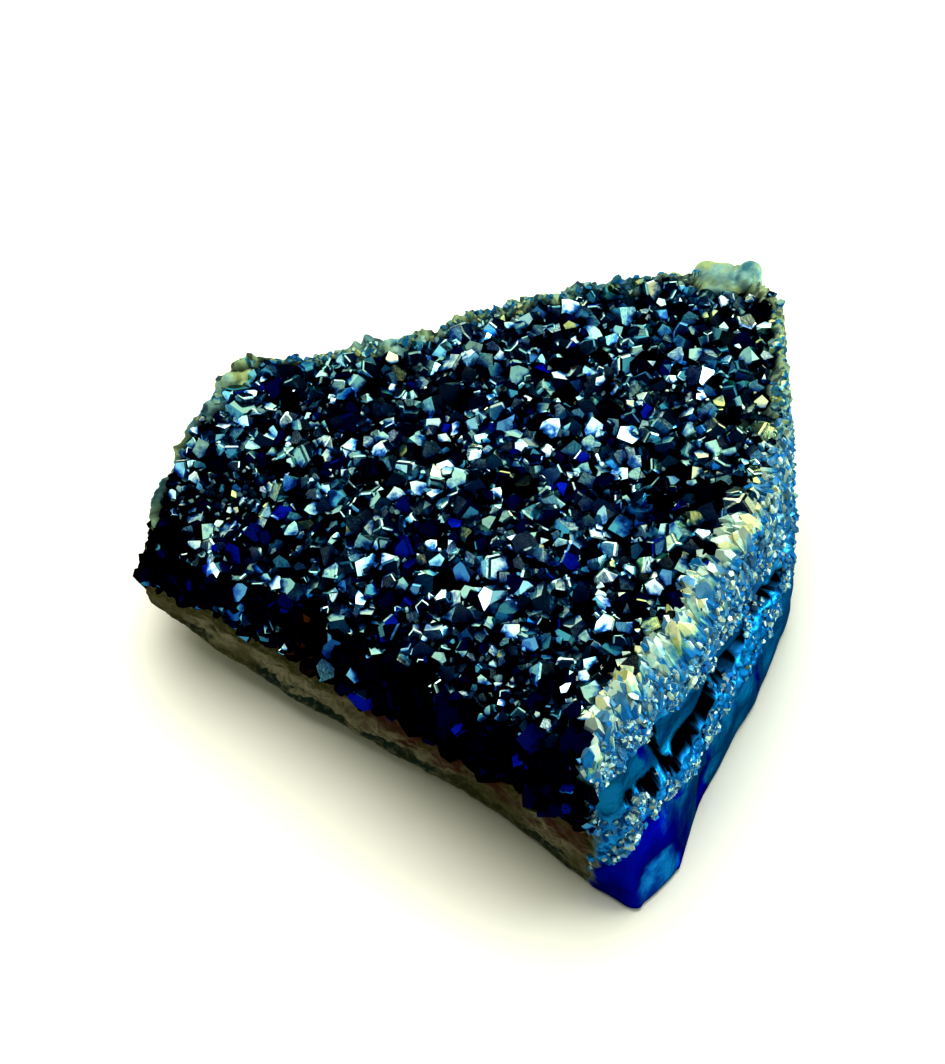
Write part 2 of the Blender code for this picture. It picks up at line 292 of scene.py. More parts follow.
def window(values, low, high, edge):
    """1 between low and high, falling to 0 over an edge on both sides."""
    past_high = smoothstep(high - edge, high + edge, values)
    return smoothstep(low - edge, low + edge, values) * (1 - past_high)


def lumpy(points, size, octaves=3):
    """Noise from about -1 to 1 at each point, with lumps about `size` across."""
    return 1.5 * np.array([noise.fractal(Vector(at) / size, 0.8, 2.1, octaves) for at in points])


def mixed(shares, *parts):
    """A blend of numbers or points, each with its share."""
    return sum(share * part for share, part in zip(shares, parts))


class SlabForm:
    """The slab without its crystals, as rings of points from the crown to the rest."""

    def __init__(self, around):
        self.around = around
        rims = np.array([corner[0] for corner in CORNERS]) * MM
        feet = np.array([corner[1] for corner in CORNERS]) * MM
        closed = np.vstack([feet, feet[:1]])
        lengths = np.r_[0, np.cumsum(np.linalg.norm(np.diff(closed, axis=0), axis=1))]
        self.along = np.linspace(0, lengths[-1], around, endpoint=False)
        self.spacing = lengths[-1] / around
        self.places = np.interp(self.along, lengths, np.arange(len(closed)))
        self.lip = self.rounded(self.at_places(rims))
        self.foot = self.rounded(self.at_places(feet))
        self.height = np.linalg.norm(self.lip - self.foot, axis=1)
        slope = np.array(SLOPE)
        self.slope_reach = np.interp(self.places, slope[:, 0], slope[:, 1]) * MM
        self.slope_end = np.interp(self.places, slope[:, 0], slope[:, 2]) * MM / self.height
        self.banded = self.banded_at(self.places)
        self.lipped = window(self.places, *LIP_PLACES, 0.3)
        self.out = self.lip - CROWN
        self.out[:, 2] = 0
        self.out /= np.linalg.norm(self.out, axis=1)[:, None]
        ends = np.array(BAND_ENDS)
        self.ends = [np.interp(self.places, ends[:, 0], ends[:, i]) for i in (1, 2, 3)]

    @staticmethod
    def banded_at(places):
        return smoothstep(*BANDED[:2], places) * (1 - smoothstep(*BANDED[2:], places))

    @staticmethod
    def rolled_at(places):
        return 1 - smoothstep(*ROLLED_END, places) + smoothstep(*ROLLED_START, places)

    def at_places(self, values):
        """Values given at the corners, read at every column."""
        closed = np.vstack([values, values[:1]])
        corners = np.arange(len(closed))
        return np.stack([np.interp(self.places, corners, part) for part in closed.T], 1)

    def rounded(self, points):
        """Points with the corners between straight stretches rounded a little."""
        half = max(1, round(CORNER_REACH / self.spacing))
        return np.mean([np.roll(points, k, axis=0) for k in range(-half, half + 1)], axis=0)

    def column_at(self, place):
        return int(np.argmin(abs(self.places - place)))

    def layer(self, level):
        """Which agate layer each column is in at a level: 0 to 4, whole numbers at layers' ends."""
        first, second, third = self.ends
        found = 3 + (level - third) / (1 - third)
        found = np.where(level < third, 2 + (level - second) / (third - second), found)
        found = np.where(level < second, 1 + (level - first) / (second - first), found)
        return np.where(level < first, level / first, found)

    def side(self, level):
        """The side's ring at a level, from lip (0) to foot (1), without its relief."""
        return self.lip + (self.foot - self.lip) * np.reshape(level, (-1, 1))

    def inwards(self, share):
        """How far inside the lip each column of the crown's ring at a share is."""
        return np.linalg.norm(self.lip - CROWN, axis=1) * (1 - share)

    def sloping(self, share):
        """How far down the broken slope each column is at a crown ring's share, from 0 to 1."""
        return np.clip(1 - self.inwards(share) / np.maximum(self.slope_reach, 0.01 * MM), 0, 1)

    def crown(self, share):
        ring = CROWN + (self.lip - CROWN) * share
        ring[:, 2] = CROWN[2] + (self.lip[:, 2] - CROWN[2]) * share**DOME_POWER
        fall = (self.slope_end * self.sloping(share) ** 1.2)[:, None]
        return ring + (self.foot - self.lip) * fall

    def under(self, share):
        ring = REST_CENTRE + (self.foot - REST_CENTRE) * share
        rise = max(0.0, (share - REST_SHARE) / (1 - REST_SHARE)) ** BELLY_POWER
        ring[:, 2] = self.foot[:, 2] * rise
        return ring


def pit_hollow(form, level, wander):
    """How hollow each column is at a level, from 0 to 1, which the material paints near black as
    shade, how deep in metres, and how near a pit.
    """
    down = level * form.height
    hollow, depth, near = np.zeros(form.around), np.zeros(form.around), np.zeros(form.around)
    for place_a, level_a, place_b, level_b, half_a, half_b, deep in PITS:
        column_a, column_b = form.column_at(place_a), form.column_at(place_b)
        start = np.array((form.along[column_a], level_a * form.height[column_a]))
        end = np.array((form.along[column_b], level_b * form.height[column_b]))
        way = end - start
        from_start = np.stack([form.along, down], 1) - start
        share = np.clip(from_start @ way / (way @ way), 0, 1)
        gap = np.linalg.norm(from_start - share[:, None] * way, axis=1) + wander
        half = (half_a + (half_b - half_a) * share) * MM
        hollow = np.maximum(hollow, 1 - smoothstep(*PIT_SHADE, gap / half))
        depth = np.maximum(depth, (1 - smoothstep(*PIT_WALL, gap / half)) * deep * MM)
        near = np.maximum(near, 1 - smoothstep(*PIT_GROUND, gap / half))
    return hollow, depth, near


def chip_hollow(form, ring, level):
    """How much of each column at a level is chipped, from 0 to 1, and how deep in metres."""
    place, at_level, radius, deep = CHIP
    column = form.column_at(place)
    aside = (form.along - form.along[column]) / (1.1 * radius * MM)
    down = (level - at_level) * form.height / (radius * MM)
    reach = np.clip(1 - aside**2 - down**2 + 0.35 * lumpy(ring, 2.5 * MM, 3), 0, 1)
    return smoothstep(0.0, 0.9, reach), deep * MM * smoothstep(0.0, 0.5, reach)


def lip_rise(ring):
    """How far the bare lip stands up at each point of a ring."""
    return (LIP_RISE + 0.5 * lumpy(ring, 1.5 * MM, 3) + 0.3 * lumpy(ring, 0.8 * MM, 1)) * MM


def side_ring(form, settings, share):
    """The side's ring at a share of the way from the slope's end to the foot, with its relief, and
    the numbers that the material reads there."""
    level = form.slope_end + (1 - form.slope_end) * share
    ring = form.side(level)
    layer = form.layer(level)
    ragged_places = form.places + BORDER_WANDER * lumpy(ring, 1.5 * MM, 3)
    banded, rolled = form.banded_at(ragged_places), form.rolled_at(ragged_places)
    swell, shells = lumpy(ring, 6 * MM, 2), 1 - abs(lumpy(ring, 9 * MM, 2)) * 2
    hills, lumps, grain = lumpy(ring, 6 * MM, 4), lumpy(ring, 1.3 * MM, 3), lumpy(ring, 0.5 * MM, 2)

    # The banded face: smooth and sugary layers, which are calmer beside the gaps.
    hollow, depth, near = pit_hollow(form, level, settings.pit_edge * lumpy(ring, 2 * MM, 1))
    sugary = window(layer, -1, 0.97, 0.06) + window(layer, 2.1, 2.92, 0.1)
    sugary *= 1 - 0.9 * near
    smooth_relief = mixed(SMOOTH_BAND, swell, lumps)
    sugary_relief = mixed(SUGARY_BAND, swell, lumps, grain)
    layer_stand = np.interp(layer, *np.array(BAND_STANDS).T) * MM
    band_relief = layer_stand + (smooth_relief * (1 - sugary) + sugary * sugary_relief) * MM

    # The broken back, and the bare belt below the crust's ragged foot.
    broken = settings.fracture * mixed(FRACTURE, shells, hills, lumps, grain)
    ragged = 0.05 * lumpy(ring, 3 * MM, 3)
    below_crust = smoothstep(CRUST_FOOT - 0.03, CRUST_FOOT + 0.03, level + 0.4 * ragged)
    belt_stand = BELT_STANDS[0] - (BELT_STANDS[0] - BELT_STANDS[1]) * below_crust
    belt = settings.belt * mixed(BELT, hills, lumps, grain) + belt_stand * MM
    other = broken * (1 - rolled) + belt * rolled
    relief = band_relief * banded + other * (1 - banded)
    relief *= 1 - 0.6 * smoothstep(0.93, 1.0, level)
    chipped, chip_depth = chip_hollow(form, ring, level)
    relief -= depth + chip_depth
    ring[:, 2] += form.lipped * lip_rise(ring) * smoothstep(0.10, 0.0, level)
    side_bare = smoothstep(0.10, 0.55, level + 3 * ragged) * (1 - banded)
    numbers = {
        "level": level,
        "layer": layer,
        "banded": banded,
        "rolled": rolled,
        "bare": rolled * below_crust + (1 - rolled) * side_bare,
        "crust": rolled * (1 - below_crust),
        "hollow": hollow,
        "chip": chipped,
        "lipped": form.lipped * smoothstep(0.26, 0.10, level + ragged),
        "place": form.places,
    }
    return ring + form.out * relief[:, None], numbers


# What the agate's material reads on each of the slab's points.
NUMBERS = (
    "level", "layer", "banded", "rolled", "bare", "crust", "hollow", "chip", "lipped", "place",
)


def plain_numbers(form, **given):
    """The numbers of one ring: those given, and 0 for the rest."""
    given["place"] = form.places
    return {name: given.get(name, 0) + np.zeros(form.around) for name in NUMBERS}


def slab_rings(form, settings):
    """Every ring of the slab from the crown's middle to the rest's, with its numbers."""
    rings, numbers = [], []
    for share in CROWN_SHARES:
        ring = form.crown(share)
        sloping = form.sloping(share)
        on_slope = smoothstep(0.0, 0.25, sloping)
        edge = LIP_WIDTH * MM * (1 + 0.8 * lumpy(ring, 2.2 * MM, 3))
        on_lip = smoothstep(1.25, 0.75, form.inwards(share) / edge) * form.lipped
        swell, lumps = lumpy(ring, 3 * MM, 2), lumpy(ring, 1.2 * MM, 3)
        ring[:, 2] += CROWN_RELIEF * swell + on_slope * SLOPE_RELIEF * lumps
        ring[:, 2] += on_lip * lip_rise(ring)
        rings.append(ring)
        numbers.append(plain_numbers(
            form, crust=(1 - on_slope) * (1 - on_lip), layer=0.6 * sloping, lipped=on_lip,
            banded=form.banded * np.maximum(on_slope, on_lip),
        ))
    for share in np.linspace(0, 1, SIDE_ROWS):
        ring, here = side_ring(form, settings, share)
        rings.append(ring)
        numbers.append(here)
    at_foot = numbers[-1]
    for share in np.linspace(1, 0, UNDER_ROWS + 1)[1:]:
        ring = form.under(share)
        rise = settings.under * (1 + lumpy(ring, 4 * MM, 4) + 0.3 * lumpy(ring, 1 * MM, 2))
        ring[:, 2] += np.maximum(rise, 0) * smoothstep(0.0, 0.12, 1 - share)
        rind = smoothstep(0.0, 0.07, 1 - share + 0.03 * lumpy(ring, 3 * MM, 3))
        bare = np.maximum(rind, at_foot["bare"] * (share > 0.9))
        rings.append(ring)
        numbers.append(plain_numbers(form, level=1, layer=4, bare=bare, banded=form.banded))
    return np.array(rings), {name: np.array([row[name] for row in numbers]) for name in numbers[0]}


def wrap_grid(name, rings, numbers):
    """Wraps a grid primitive round the slab, keeps the numbers on its points, and welds the seam
    and both poles."""
    rows, around = rings.shape[:2]
    bpy.ops.object.select_all(action="DESELECT")
    bpy.ops.mesh.primitive_grid_add(x_subdivisions=around, y_subdivisions=rows - 1, size=1)
    piece = bpy.context.object
    piece.name = piece.data.name = name
    wrapped = np.concatenate([rings, rings[:, :1]], axis=1).reshape(-1, 3)
    piece.data.vertices.foreach_set("co", (wrapped - BOX_MIDDLE).ravel())
    for key, values in numbers.items():
        wrapped = np.concatenate([values, values[:, :1]], axis=1).ravel().astype(np.float32)
        piece.data.attributes.new(key, "FLOAT", "POINT").data.foreach_set("value", wrapped)
    bpy.ops.object.mode_set(mode="EDIT")
    bpy.ops.mesh.select_all(action="SELECT")
    bpy.ops.mesh.remove_doubles(threshold=0.002 * MM)
    bpy.ops.mesh.normals_make_consistent(inside=False)
    bpy.ops.object.mode_set(mode="OBJECT")
    bpy.ops.object.shade_smooth()
    return piece


# ---------------------------------------------------------------- quartz points

# Each point to be modelled: its tip's slope in degrees, the heights at which the three broad planes
# and the three narrow ones between them cross its axis, so that the lowest makes the largest face,
# the step of the growth plates on its sloping faces, and its root's share of its width.
BROAD_POINTS = (
    (50, (1.50, 1.56, 1.62), (1.66, 1.70, 1.74), 0, 0),
    (46, (1.34, 1.56, 1.60), (1.70, 1.90, 1.62), 0, 0),
    (52, (1.52, 1.50, 1.56), (1.95, 2.00, 1.90), 0, 0),
    (44, (1.36, 1.50, 1.42), (1.60, 1.56, 1.75), 0.075, 0),
    (48, (1.58, 1.40, 1.40), (1.80, 1.54, 1.70), 0.06, 0),
    (40, (1.26, 1.44, 1.50), (1.62, 1.80, 1.50), 0, 0),
)
SMALL_POINTS = (
    (50, (1.50, 1.56, 1.62), (1.95, 2.00, 1.90), 0, 0),
    (44, (1.36, 1.50, 1.46), (1.90, 1.95, 1.95), 0, 0),
)
BLADES = (  # long points that keep their width down to the root, where they are seen side on
    (54, (1.45, 1.62, 1.75), (1.60, 2.00, 1.90), 0, 0.8),
    (60, (1.40, 1.90, 1.70), (1.95, 2.00, 1.75), 0, 0.7),
    (48, (1.50, 1.44, 1.56), (1.95, 2.00, 1.90), 0, 0.9),
)


def model_point(slope, broad, narrow, step, root):
    """One quartz point, one unit wide with its shoulder about one unit up: a six-sided prism that
    six planes cut to a tip."""
    bpy.ops.object.select_all(action="DESELECT")
    bpy.ops.mesh.primitive_cylinder_add(vertices=6, radius=0.55, depth=3, location=(0, 0, 1.5))
    point = bpy.context.object
    bpy.ops.object.transform_apply(location=True, rotation=True, scale=True)
    bpy.ops.object.mode_set(mode="EDIT")
    tilt = math.radians(slope)
    for number, height in enumerate(np.stack([broad, narrow], 1).ravel()):
        turn = number * math.pi / 3
        way = (math.cos(turn) * math.sin(tilt), math.sin(turn) * math.sin(tilt), math.cos(tilt))
        bpy.ops.mesh.select_all(action="SELECT")
        bpy.ops.mesh.bisect(plane_co=(0, 0, height), plane_no=way, use_fill=True, clear_outer=True)
    if step:
        select_faces(point, lambda face: 0.1 < face.normal.z < 0.95 and face.area > 0.12)
        bpy.ops.mesh.inset(thickness=step, depth=0.45 * step, use_individual=True)
    select_faces(point, lambda face: face.normal.z < -0.9)
    bpy.ops.transform.resize(value=(root, root, 1), center_override=(0, 0, 0))
    bpy.ops.mesh.select_all(action="SELECT")
    bpy.ops.mesh.remove_doubles(threshold=0.002)
    bpy.ops.mesh.normals_make_consistent(inside=False)
    bpy.ops.object.mode_set(mode="OBJECT")
    return taken_apart(point)


def select_faces(piece, wanted):
    """Leaves the piece in edit mode with just the wanted faces selected."""
    bpy.ops.object.mode_set(mode="EDIT")
    bpy.ops.mesh.select_mode(type="FACE")
    bpy.ops.mesh.select_all(action="DESELECT")
    bpy.ops.object.mode_set(mode="OBJECT")
    for face in piece.data.polygons:
        face.select = wanted(face)
    bpy.ops.object.mode_set(mode="EDIT")


def taken_apart(point):
    """A modelled point as arrays: its corners, its faces' corners in one row, and how many corners
    each face has. The model itself is removed."""
    mesh = point.data
    corners = np.array([vertex.co for vertex in mesh.vertices])
    loops = np.array([index for face in mesh.polygons for index in face.vertices])
    counts = np.array([len(face.vertices) for face in mesh.polygons])
    bpy.data.objects.remove(point)
    bpy.data.meshes.remove(mesh)
    return corners, loops, counts


def stood_along(axis, spin):
    """Rotation that stands +Z along an axis after a spin about it, as an array."""
    stood = Vector(axis).to_track_quat("Z", "Y").to_matrix()
    return np.array(stood @ Matrix.Rotation(spin, 3, "Z"))


STEEP_SHADE_TINT = np.array((0.14, 0.42, 0.80))  # painted shade: steep faces, turned away from the light above, are darkened and turned bluer
MAIN_TINT_SHARE = 0.62  # of a point's faces, the share that takes its main tint


class PointCluster:
    """Quartz points copied from the modelled ones into one mesh. Each face carries a film tint,
    which varies by `spread`, and each of its corners how far it reaches up out of the gaps; the
    material paints shade below that. Steep faces can be darkened and turned bluer as painted shade
    too."""

    def __init__(self, shapes, rng, spread, shade_steep=False):
        self.models = [model_point(*shape) for shape in shapes]
        self.rng, self.spread, self.shade_steep = rng, spread, shade_steep
        self.corners, self.loops, self.counts, self.tints, self.reaches = [], [], [], [], []
        self.total = 0

    def add(self, root, turn, width, buried, stand, tints, slim=1.0):
        """Adds a point whose root is `buried` under the surface and whose shoulder stands above."""
        rng = self.rng
        corners, loops, counts = self.models[rng.integers(len(self.models))]
        squash = rng.uniform(0.85, 1.15)
        shaped = corners * (width * squash, slim * width / squash, 0)
        over = corners[:, 2] > 0.01
        shaped[over, 2] = buried + stand + (corners[over, 2] - 1) * width * rng.uniform(0.8, 1.05)
        placed = shaped @ turn.T + root
        self.corners.append(placed)
        self.loops.append(loops + self.total)
        self.counts.append(counts)
        self.total += len(corners)

        others = len(tints) - 1
        shares = (MAIN_TINT_SHARE,) + ((1 - MAIN_TINT_SHARE) / others,) * others
        picked = rng.choice(len(tints), len(counts), p=shares)
        varied = np.exp(rng.normal(0, self.spread, (len(counts), 1)))
        faces = np.array(tints)[picked][:, :3] * varied
        # Painted shade: steep faces are darkened and turned bluer.
        if self.shade_steep:
            faces *= STEEP_SHADE_TINT ** self.steepness(placed, loops, counts)[:, None]
        self.tints.append(np.repeat(np.clip(faces, 0, 1), counts, axis=0))
        top = shaped[:, 2].max()
        reach = (shaped[loops, 2] - buried + 0.3 * width) / (top - buried + 0.3 * width)
        self.reaches.append(np.clip(reach + rng.normal(0, 0.10, len(loops)), 0, 1))

    def steepness(self, placed, loops, counts):
        """How steep each face stands, from 0 to 1."""
        starts = np.r_[0, np.cumsum(counts)[:-1]]
        first, second, third = (placed[loops[starts + number]] for number in range(3))
        across = np.cross(second - first, third - first)
        upright = across[:, 2] / np.maximum(np.linalg.norm(across, axis=1), 1e-12)
        return smoothstep(0.80, 0.35, upright)

    def joined(self, name):
        """All the points as one flat-shaded piece."""
        mesh = bpy.data.meshes.new(name)
        parts = (self.corners, self.loops, self.counts)
        corners, loops, counts = (np.concatenate(part) for part in parts)
        mesh.vertices.add(len(corners))
        mesh.vertices.foreach_set("co", corners.ravel())
        mesh.loops.add(len(loops))
        mesh.loops.foreach_set("vertex_index", loops)
        mesh.polygons.add(len(counts))
        mesh.polygons.foreach_set("loop_start", np.r_[0, np.cumsum(counts)[:-1]])
        mesh.update(calc_edges=True)
        mesh.shade_flat()
        tints = np.concatenate(self.tints)
        tints = np.c_[tints, np.ones(len(tints))].ravel()
        reaches = np.concatenate(self.reaches)
        for layer, kind, key, values in (
            ("tint", "FLOAT_COLOR", "color", tints), ("reach", "FLOAT", "value", reaches),
        ):
            data = mesh.attributes.new(layer, kind, "CORNER").data
            data.foreach_set(key, values.astype(np.float32))
        piece = bpy.data.objects.new(name, mesh)
        bpy.context.scene.collection.objects.link(piece)
        return piece


CRUST_FORM, FACE_FORM = 720, 1440  # points round the plain slab that the crystals are placed by

# Sizes of point in the crust, largest first: width from and to in mm, and how many places are
# tried for one.
CRUST_SIZES = ((2.6, 3.3, 260), (1.8, 2.6, 12000), (1.2, 1.7, 12000), (0.65, 1.05, 14000))
EDGE_WIDTH = 1.35 * MM  # the widest point that grows at the crust's edges and where it is sugary
SMALL_POINT = 1.1 * MM  # narrower points are the grains in the gaps
TWIN_WIDTH = 1.6 * MM  # wider points may have smaller parallel ones beside them

# Where the crust is sugary, with nothing but small points: centre and radius in mm.
SUGARY = (
    (1.6, -27.6, 4.5), (-27.0, -0.5, 4.0), (-33.5, 0.0, 2.5), (-18.0, 9.0, 3.0), (22.0, 8.0, 3.0),
)
RUSTY = (-18.5, -19.3, 2.0)  # an iron-stained patch of the crust: centre and radius in mm

# How often the points of each part of the crust have each film colour. The deep share paints whole
# faces near black as shade.
FILM_NAMES = ("pale", "sage", "teal", "steel", "cobalt", "navy", "straw", "olive", "deep")
MIDDLE_FILM = (0.31, 0.30, 0.08, 0.04, 0.03, 0.11, 0.02, 0.01, 0.10)
GOLD_FILM = (0.23, 0.19, 0.06, 0.02, 0.01, 0.06, 0.18, 0.14, 0.11)  # along the right
FRONT_SHADE_FILM = (0.27, 0.26, 0.10, 0.08, 0.08, 0.12, 0.00, 0.00, 0.09)  # a little darker and bluer above the front left rim, where the top rounds down from the light: painted shade
SIDE_SHADE_FILM = (0.00, 0.01, 0.02, 0.02, 0.05, 0.17, 0.00, 0.00, 0.73)  # mostly near black: painted shade down that side and at the tip
SAGE_FILM = (0.24, 0.40, 0.14, 0.10, 0.02, 0.03, 0.05, 0.02, 0.00)  # along the back


class Palette:
    """Which film colours a point has, by where it grows."""

    def __init__(self, form, film, rng):
        self.form, self.rng = form, rng
        self.colours = [tuple(getattr(film, name)) for name in FILM_NAMES]
        self.rim = (form.lip - BOX_MIDDLE)[:, :2]
        self.rust = tuple(film.rust)

    def weights(self, at):
        """How often each film colour is found at a point, by its distance from the rim in mm."""
        gaps = np.linalg.norm(self.rim - at[:2], axis=1)
        nearest = int(gaps.argmin())
        gap, place = gaps[nearest] / MM, self.form.places[nearest]
        on_right = window(place, 5.4, 12.8, 0.5) * smoothstep(12, 4, gap)
        on_back = window(place, 12.6, 19.4, 0.4) * smoothstep(6, 2, gap)
        on_front = window(place, 0.1, 4.9, 0.3) * smoothstep(11, 3, gap)
        on_side = (place < 5.0 or place > 21.3) * smoothstep(1.6, 0.4, gap)
        from_tip = np.linalg.norm(at[:2] - self.rim[0]) / MM
        on_side = max(on_side, smoothstep(6.0, 3.5, from_tip))
        weights = np.array(MIDDLE_FILM)
        for share, other in (
            (on_right, GOLD_FILM), (on_back, SAGE_FILM), (on_front, FRONT_SHADE_FILM),
            (on_side, SIDE_SHADE_FILM),
        ):
            weights = weights * (1 - share) + np.array(other) * share
        return weights / weights.sum()

    def pick(self, at):
        """The point's main tint and two more that a few of its faces take."""
        rusty_at = np.array(RUSTY[:2]) * MM - BOX_MIDDLE[:2]
        if np.linalg.norm(at[:2] - rusty_at) < RUSTY[2] * MM:
            # Rust on the main faces, near-black painted shade on the others.
            return [self.rust, self.colours[-1], self.colours[-1]]
        weights = self.weights(at)
        order = self.rng.choice(len(self.colours), 3, p=weights)
        return [self.colours[index] for index in order]


def crust_faces(slab):
    """Corners of the slab's quads that the crust covers, with their areas, normals, and whether
    they are well inside it."""
    mesh = slab.data
    crust = np.empty(len(mesh.vertices), np.float32)
    mesh.attributes["crust"].data.foreach_get("value", crust)
    indices = np.array([tuple(face.vertices) for face in mesh.polygons if len(face.vertices) == 4])
    points = np.array([vertex.co for vertex in mesh.vertices])
    cover = crust[indices].min(axis=1)
    quads = points[indices[cover > 0.4]]
    across = np.cross(quads[:, 2] - quads[:, 0], quads[:, 3] - quads[:, 1])
    areas = np.linalg.norm(across, axis=1)
    return quads, areas, across / areas[:, None], cover[cover > 0.4] > 0.97


def crust_places(slab, form, settings, rng):
    """Place, outward direction and width of every point: large ones first, small in the gaps. Only
    small ones grow at the crust's edges and in its sugary patches."""
    quads, areas, normals, inside = crust_faces(slab)
    broken = form.places > ROLLED_END[1]
    edge = (form.lip[broken] - BOX_MIDDLE)[:, :2]
    patches = np.array(SUGARY) * MM
    patches[:, :2] -= BOX_MIDDLE[:2]
    found, directions, widths = np.empty((0, 3)), [], np.empty(0)
    for low, high, tries in CRUST_SIZES:
        for index in rng.choice(len(quads), tries, p=areas / areas.sum()):
            across, down = rng.random(2)
            quad = quads[index]
            near = quad[0] * (1 - across) + quad[1] * across
            far = quad[3] * (1 - across) + quad[2] * across
            at = near + (far - near) * down
            width = rng.uniform(low, high) * MM
            from_patches = np.linalg.norm(patches[:, :2] - at[:2], axis=1)
            small_only = not inside[index] or (from_patches < patches[:, 2]).any()
            if small_only and width > EDGE_WIDTH:
                continue
            if np.linalg.norm(edge - at[:2], axis=1).min() < 0.9 * width - 0.6 * MM:
                continue
            if in_lump(at, 1.05):
                continue
            gaps = np.linalg.norm(found - at, axis=1)
            if (gaps < settings.closeness * (widths + width) / 2).any():
                continue
            found = np.vstack([found, at])
            directions.append(normals[index])
            widths = np.append(widths, width)
    return found, np.array(directions), widths


def in_lump(at, widened=1.0):
    """Whether a point is in one of the rim's lumps, where no quartz grows."""
    return any(
        np.linalg.norm(at - centre) < widened * radius * MM
        for centre, (_, radius) in zip(LUMP_CENTRES, LUMPS)
    )


def leaning(direction, spread, rng):
    """A direction that leans a random way from the given one, usually by a slope of `spread`."""
    axis = direction + rng.normal(0, spread, 3)
    return axis / np.linalg.norm(axis)


def grow_crust(slab, crust, film):
    """The crust's large points, each with parallel ones beside it, and the grains in the gaps."""
    rng = np.random.default_rng(crust.seed)
    form = SlabForm(CRUST_FORM)
    palette = Palette(form, film, rng)
    large = PointCluster(BROAD_POINTS, rng, 0.25, shade_steep=True)
    grains = PointCluster(SMALL_POINTS, rng, 0.25, shade_steep=True)
    for at, direction, width in zip(*crust_places(slab, form, crust, rng)):
        axis = leaning(direction, math.tan(crust.lean), rng)
        spin = rng.uniform(0, 2 * math.pi)
        buried = 0.5 * width + 0.3 * MM
        stand = crust.stand * width * rng.uniform(-0.6, 2.2)
        tints = palette.pick(at)
        turn = stood_along(axis, spin)
        if width < SMALL_POINT:
            # Grains lie low in the gaps; halving their tints is painted shade.
            tints = [tuple(np.array(tint) * 0.5) for tint in tints]
            grains.add(at - axis * buried, turn, 1.1 * width, buried, stand, tints)
            continue
        large.add(at - axis * buried, turn, 1.1 * width, buried, stand, tints)
        for _ in range(rng.integers(0, 3) if width > TWIN_WIDTH else 0):
            angle, smaller = rng.uniform(0, 2 * math.pi), width * rng.uniform(0.40, 0.70)
            aside = turn @ np.array((math.cos(angle), math.sin(angle), 0)) * width * 0.45
            twin = stood_along(leaning(axis, 0.04, rng), spin + rng.normal(0, 0.06))
            root = at + aside - twin[:, 2] * buried
            large.add(root, twin, smaller, buried, stand * rng.uniform(0.2, 1.0), tints)
    return large.joined("crust_points"), grains.joined("crust_grains")


FACE_PLACES = (5.05, 11.1)  # where on the slab quartz is tried on the banded face
QUARTZ_END = 11.0  # it thins out up to here


class FaceReader:
    """Finds points on the slab's banded face, by looking in from outside."""

    def __init__(self, slab):
        self.form = SlabForm(FACE_FORM)
        self.tree = BVHTree.FromObject(slab, bpy.context.evaluated_depsgraph_get())

    def hit(self, plain, way):
        """Point and normal on the slab nearest outside a plain point, looked at along a way."""
        outside = plain - BOX_MIDDLE - way * 5 * MM
        at, normal, _, _ = self.tree.ray_cast(Vector(outside), Vector(way))
        if at is None:
            raise RuntimeError(f"no slab at {np.round(plain / MM, 1)} mm")
        return np.array(at), np.array(normal)

    def on_side(self, place, level):
        """Point and normal on the side at a level."""
        form = self.form
        column = form.column_at(place)
        lip, foot = form.lip[column], form.foot[column]
        up = (lip - foot) / np.linalg.norm(lip - foot)
        return self.hit(lip - up * level * form.height[column], -form.out[column])

    def on_columns(self, place, share):
        """Point and normal on the columns' layer, from the crust's edge (0) over the broken slope
        and down to the layer's end (1)."""
        form = self.form
        column = form.column_at(place)
        lip, foot, out = form.lip[column], form.foot[column], form.out[column]
        height, reach = form.height[column], form.slope_reach[column]
        drop = form.slope_end[column] * height
        slope = math.hypot(drop, reach)
        down = share * (slope + max(form.ends[0][column] * height - drop, 0))
        if down > slope:
            return self.on_side(place, (down - slope + drop) / height)
        inner = lip - out * reach
        outer = lip + (foot - lip) * form.slope_end[column]
        inner[2] += 0.3 * MM
        way = -(out + (0, 0, 1.5)) / math.sqrt(3.25)
        return self.hit(inner + (outer - inner) * down / max(slope, 0.1 * MM), way)

    def layer_ends(self, place):
        column = self.form.column_at(place)
        return [ends[column] for ends in self.form.ends]

    def is_hollow(self, place, level):
        return pit_hollow(self.form, level, 0)[0][self.form.column_at(place)] > 0.25

    def random_place(self, rng, low, high):
        """A random place between two, even along the stone."""
        ends = [self.form.along[self.form.column_at(place)] for place in (low, high)]
        return float(np.interp(rng.uniform(*ends), self.form.along, self.form.places))

    def past_end(self, rng, place):
        """Whether a place is past the ragged end of the quartz on the banded face."""
        return place > QUARTZ_END - abs(rng.normal(0, 0.45))


# Groups of tints for one crystal, its main tint first, each after the group's share.
EDGE_TINTS = (
    (0.45, "straw olive pale"), (0.6, "pale sage straw"), (0.7, "pale sage steel"),
    (0.25, "steel azure pale"),
)
COLUMN_TINTS = (
    (0.03, "straw olive pale"), (0.2, "pale sage straw"), (0.7, "pale sage steel"),
    (1.1, "steel azure pale"),
)
SUGAR_TINTS = (
    (0.14, "pale sage steel"), (0.34, "pale steel azure"), (0.30, "steel azure pale"),
    (0.22, "azure steel azure"),
)
RIM_TINTS = (
    (0.30, "sage olive teal"), (0.30, "teal sage strip"), (0.25, "olive sage straw"),
    (0.15, "steel navy teal"),
)


def face_tints(film, rng, choices):
    """One group of tints out of several."""
    shares = np.array([share for share, _ in choices])
    names = choices[rng.choice(len(choices), p=shares / shares.sum())][1].split()
    return [tuple(getattr(film, name)) for name in names]


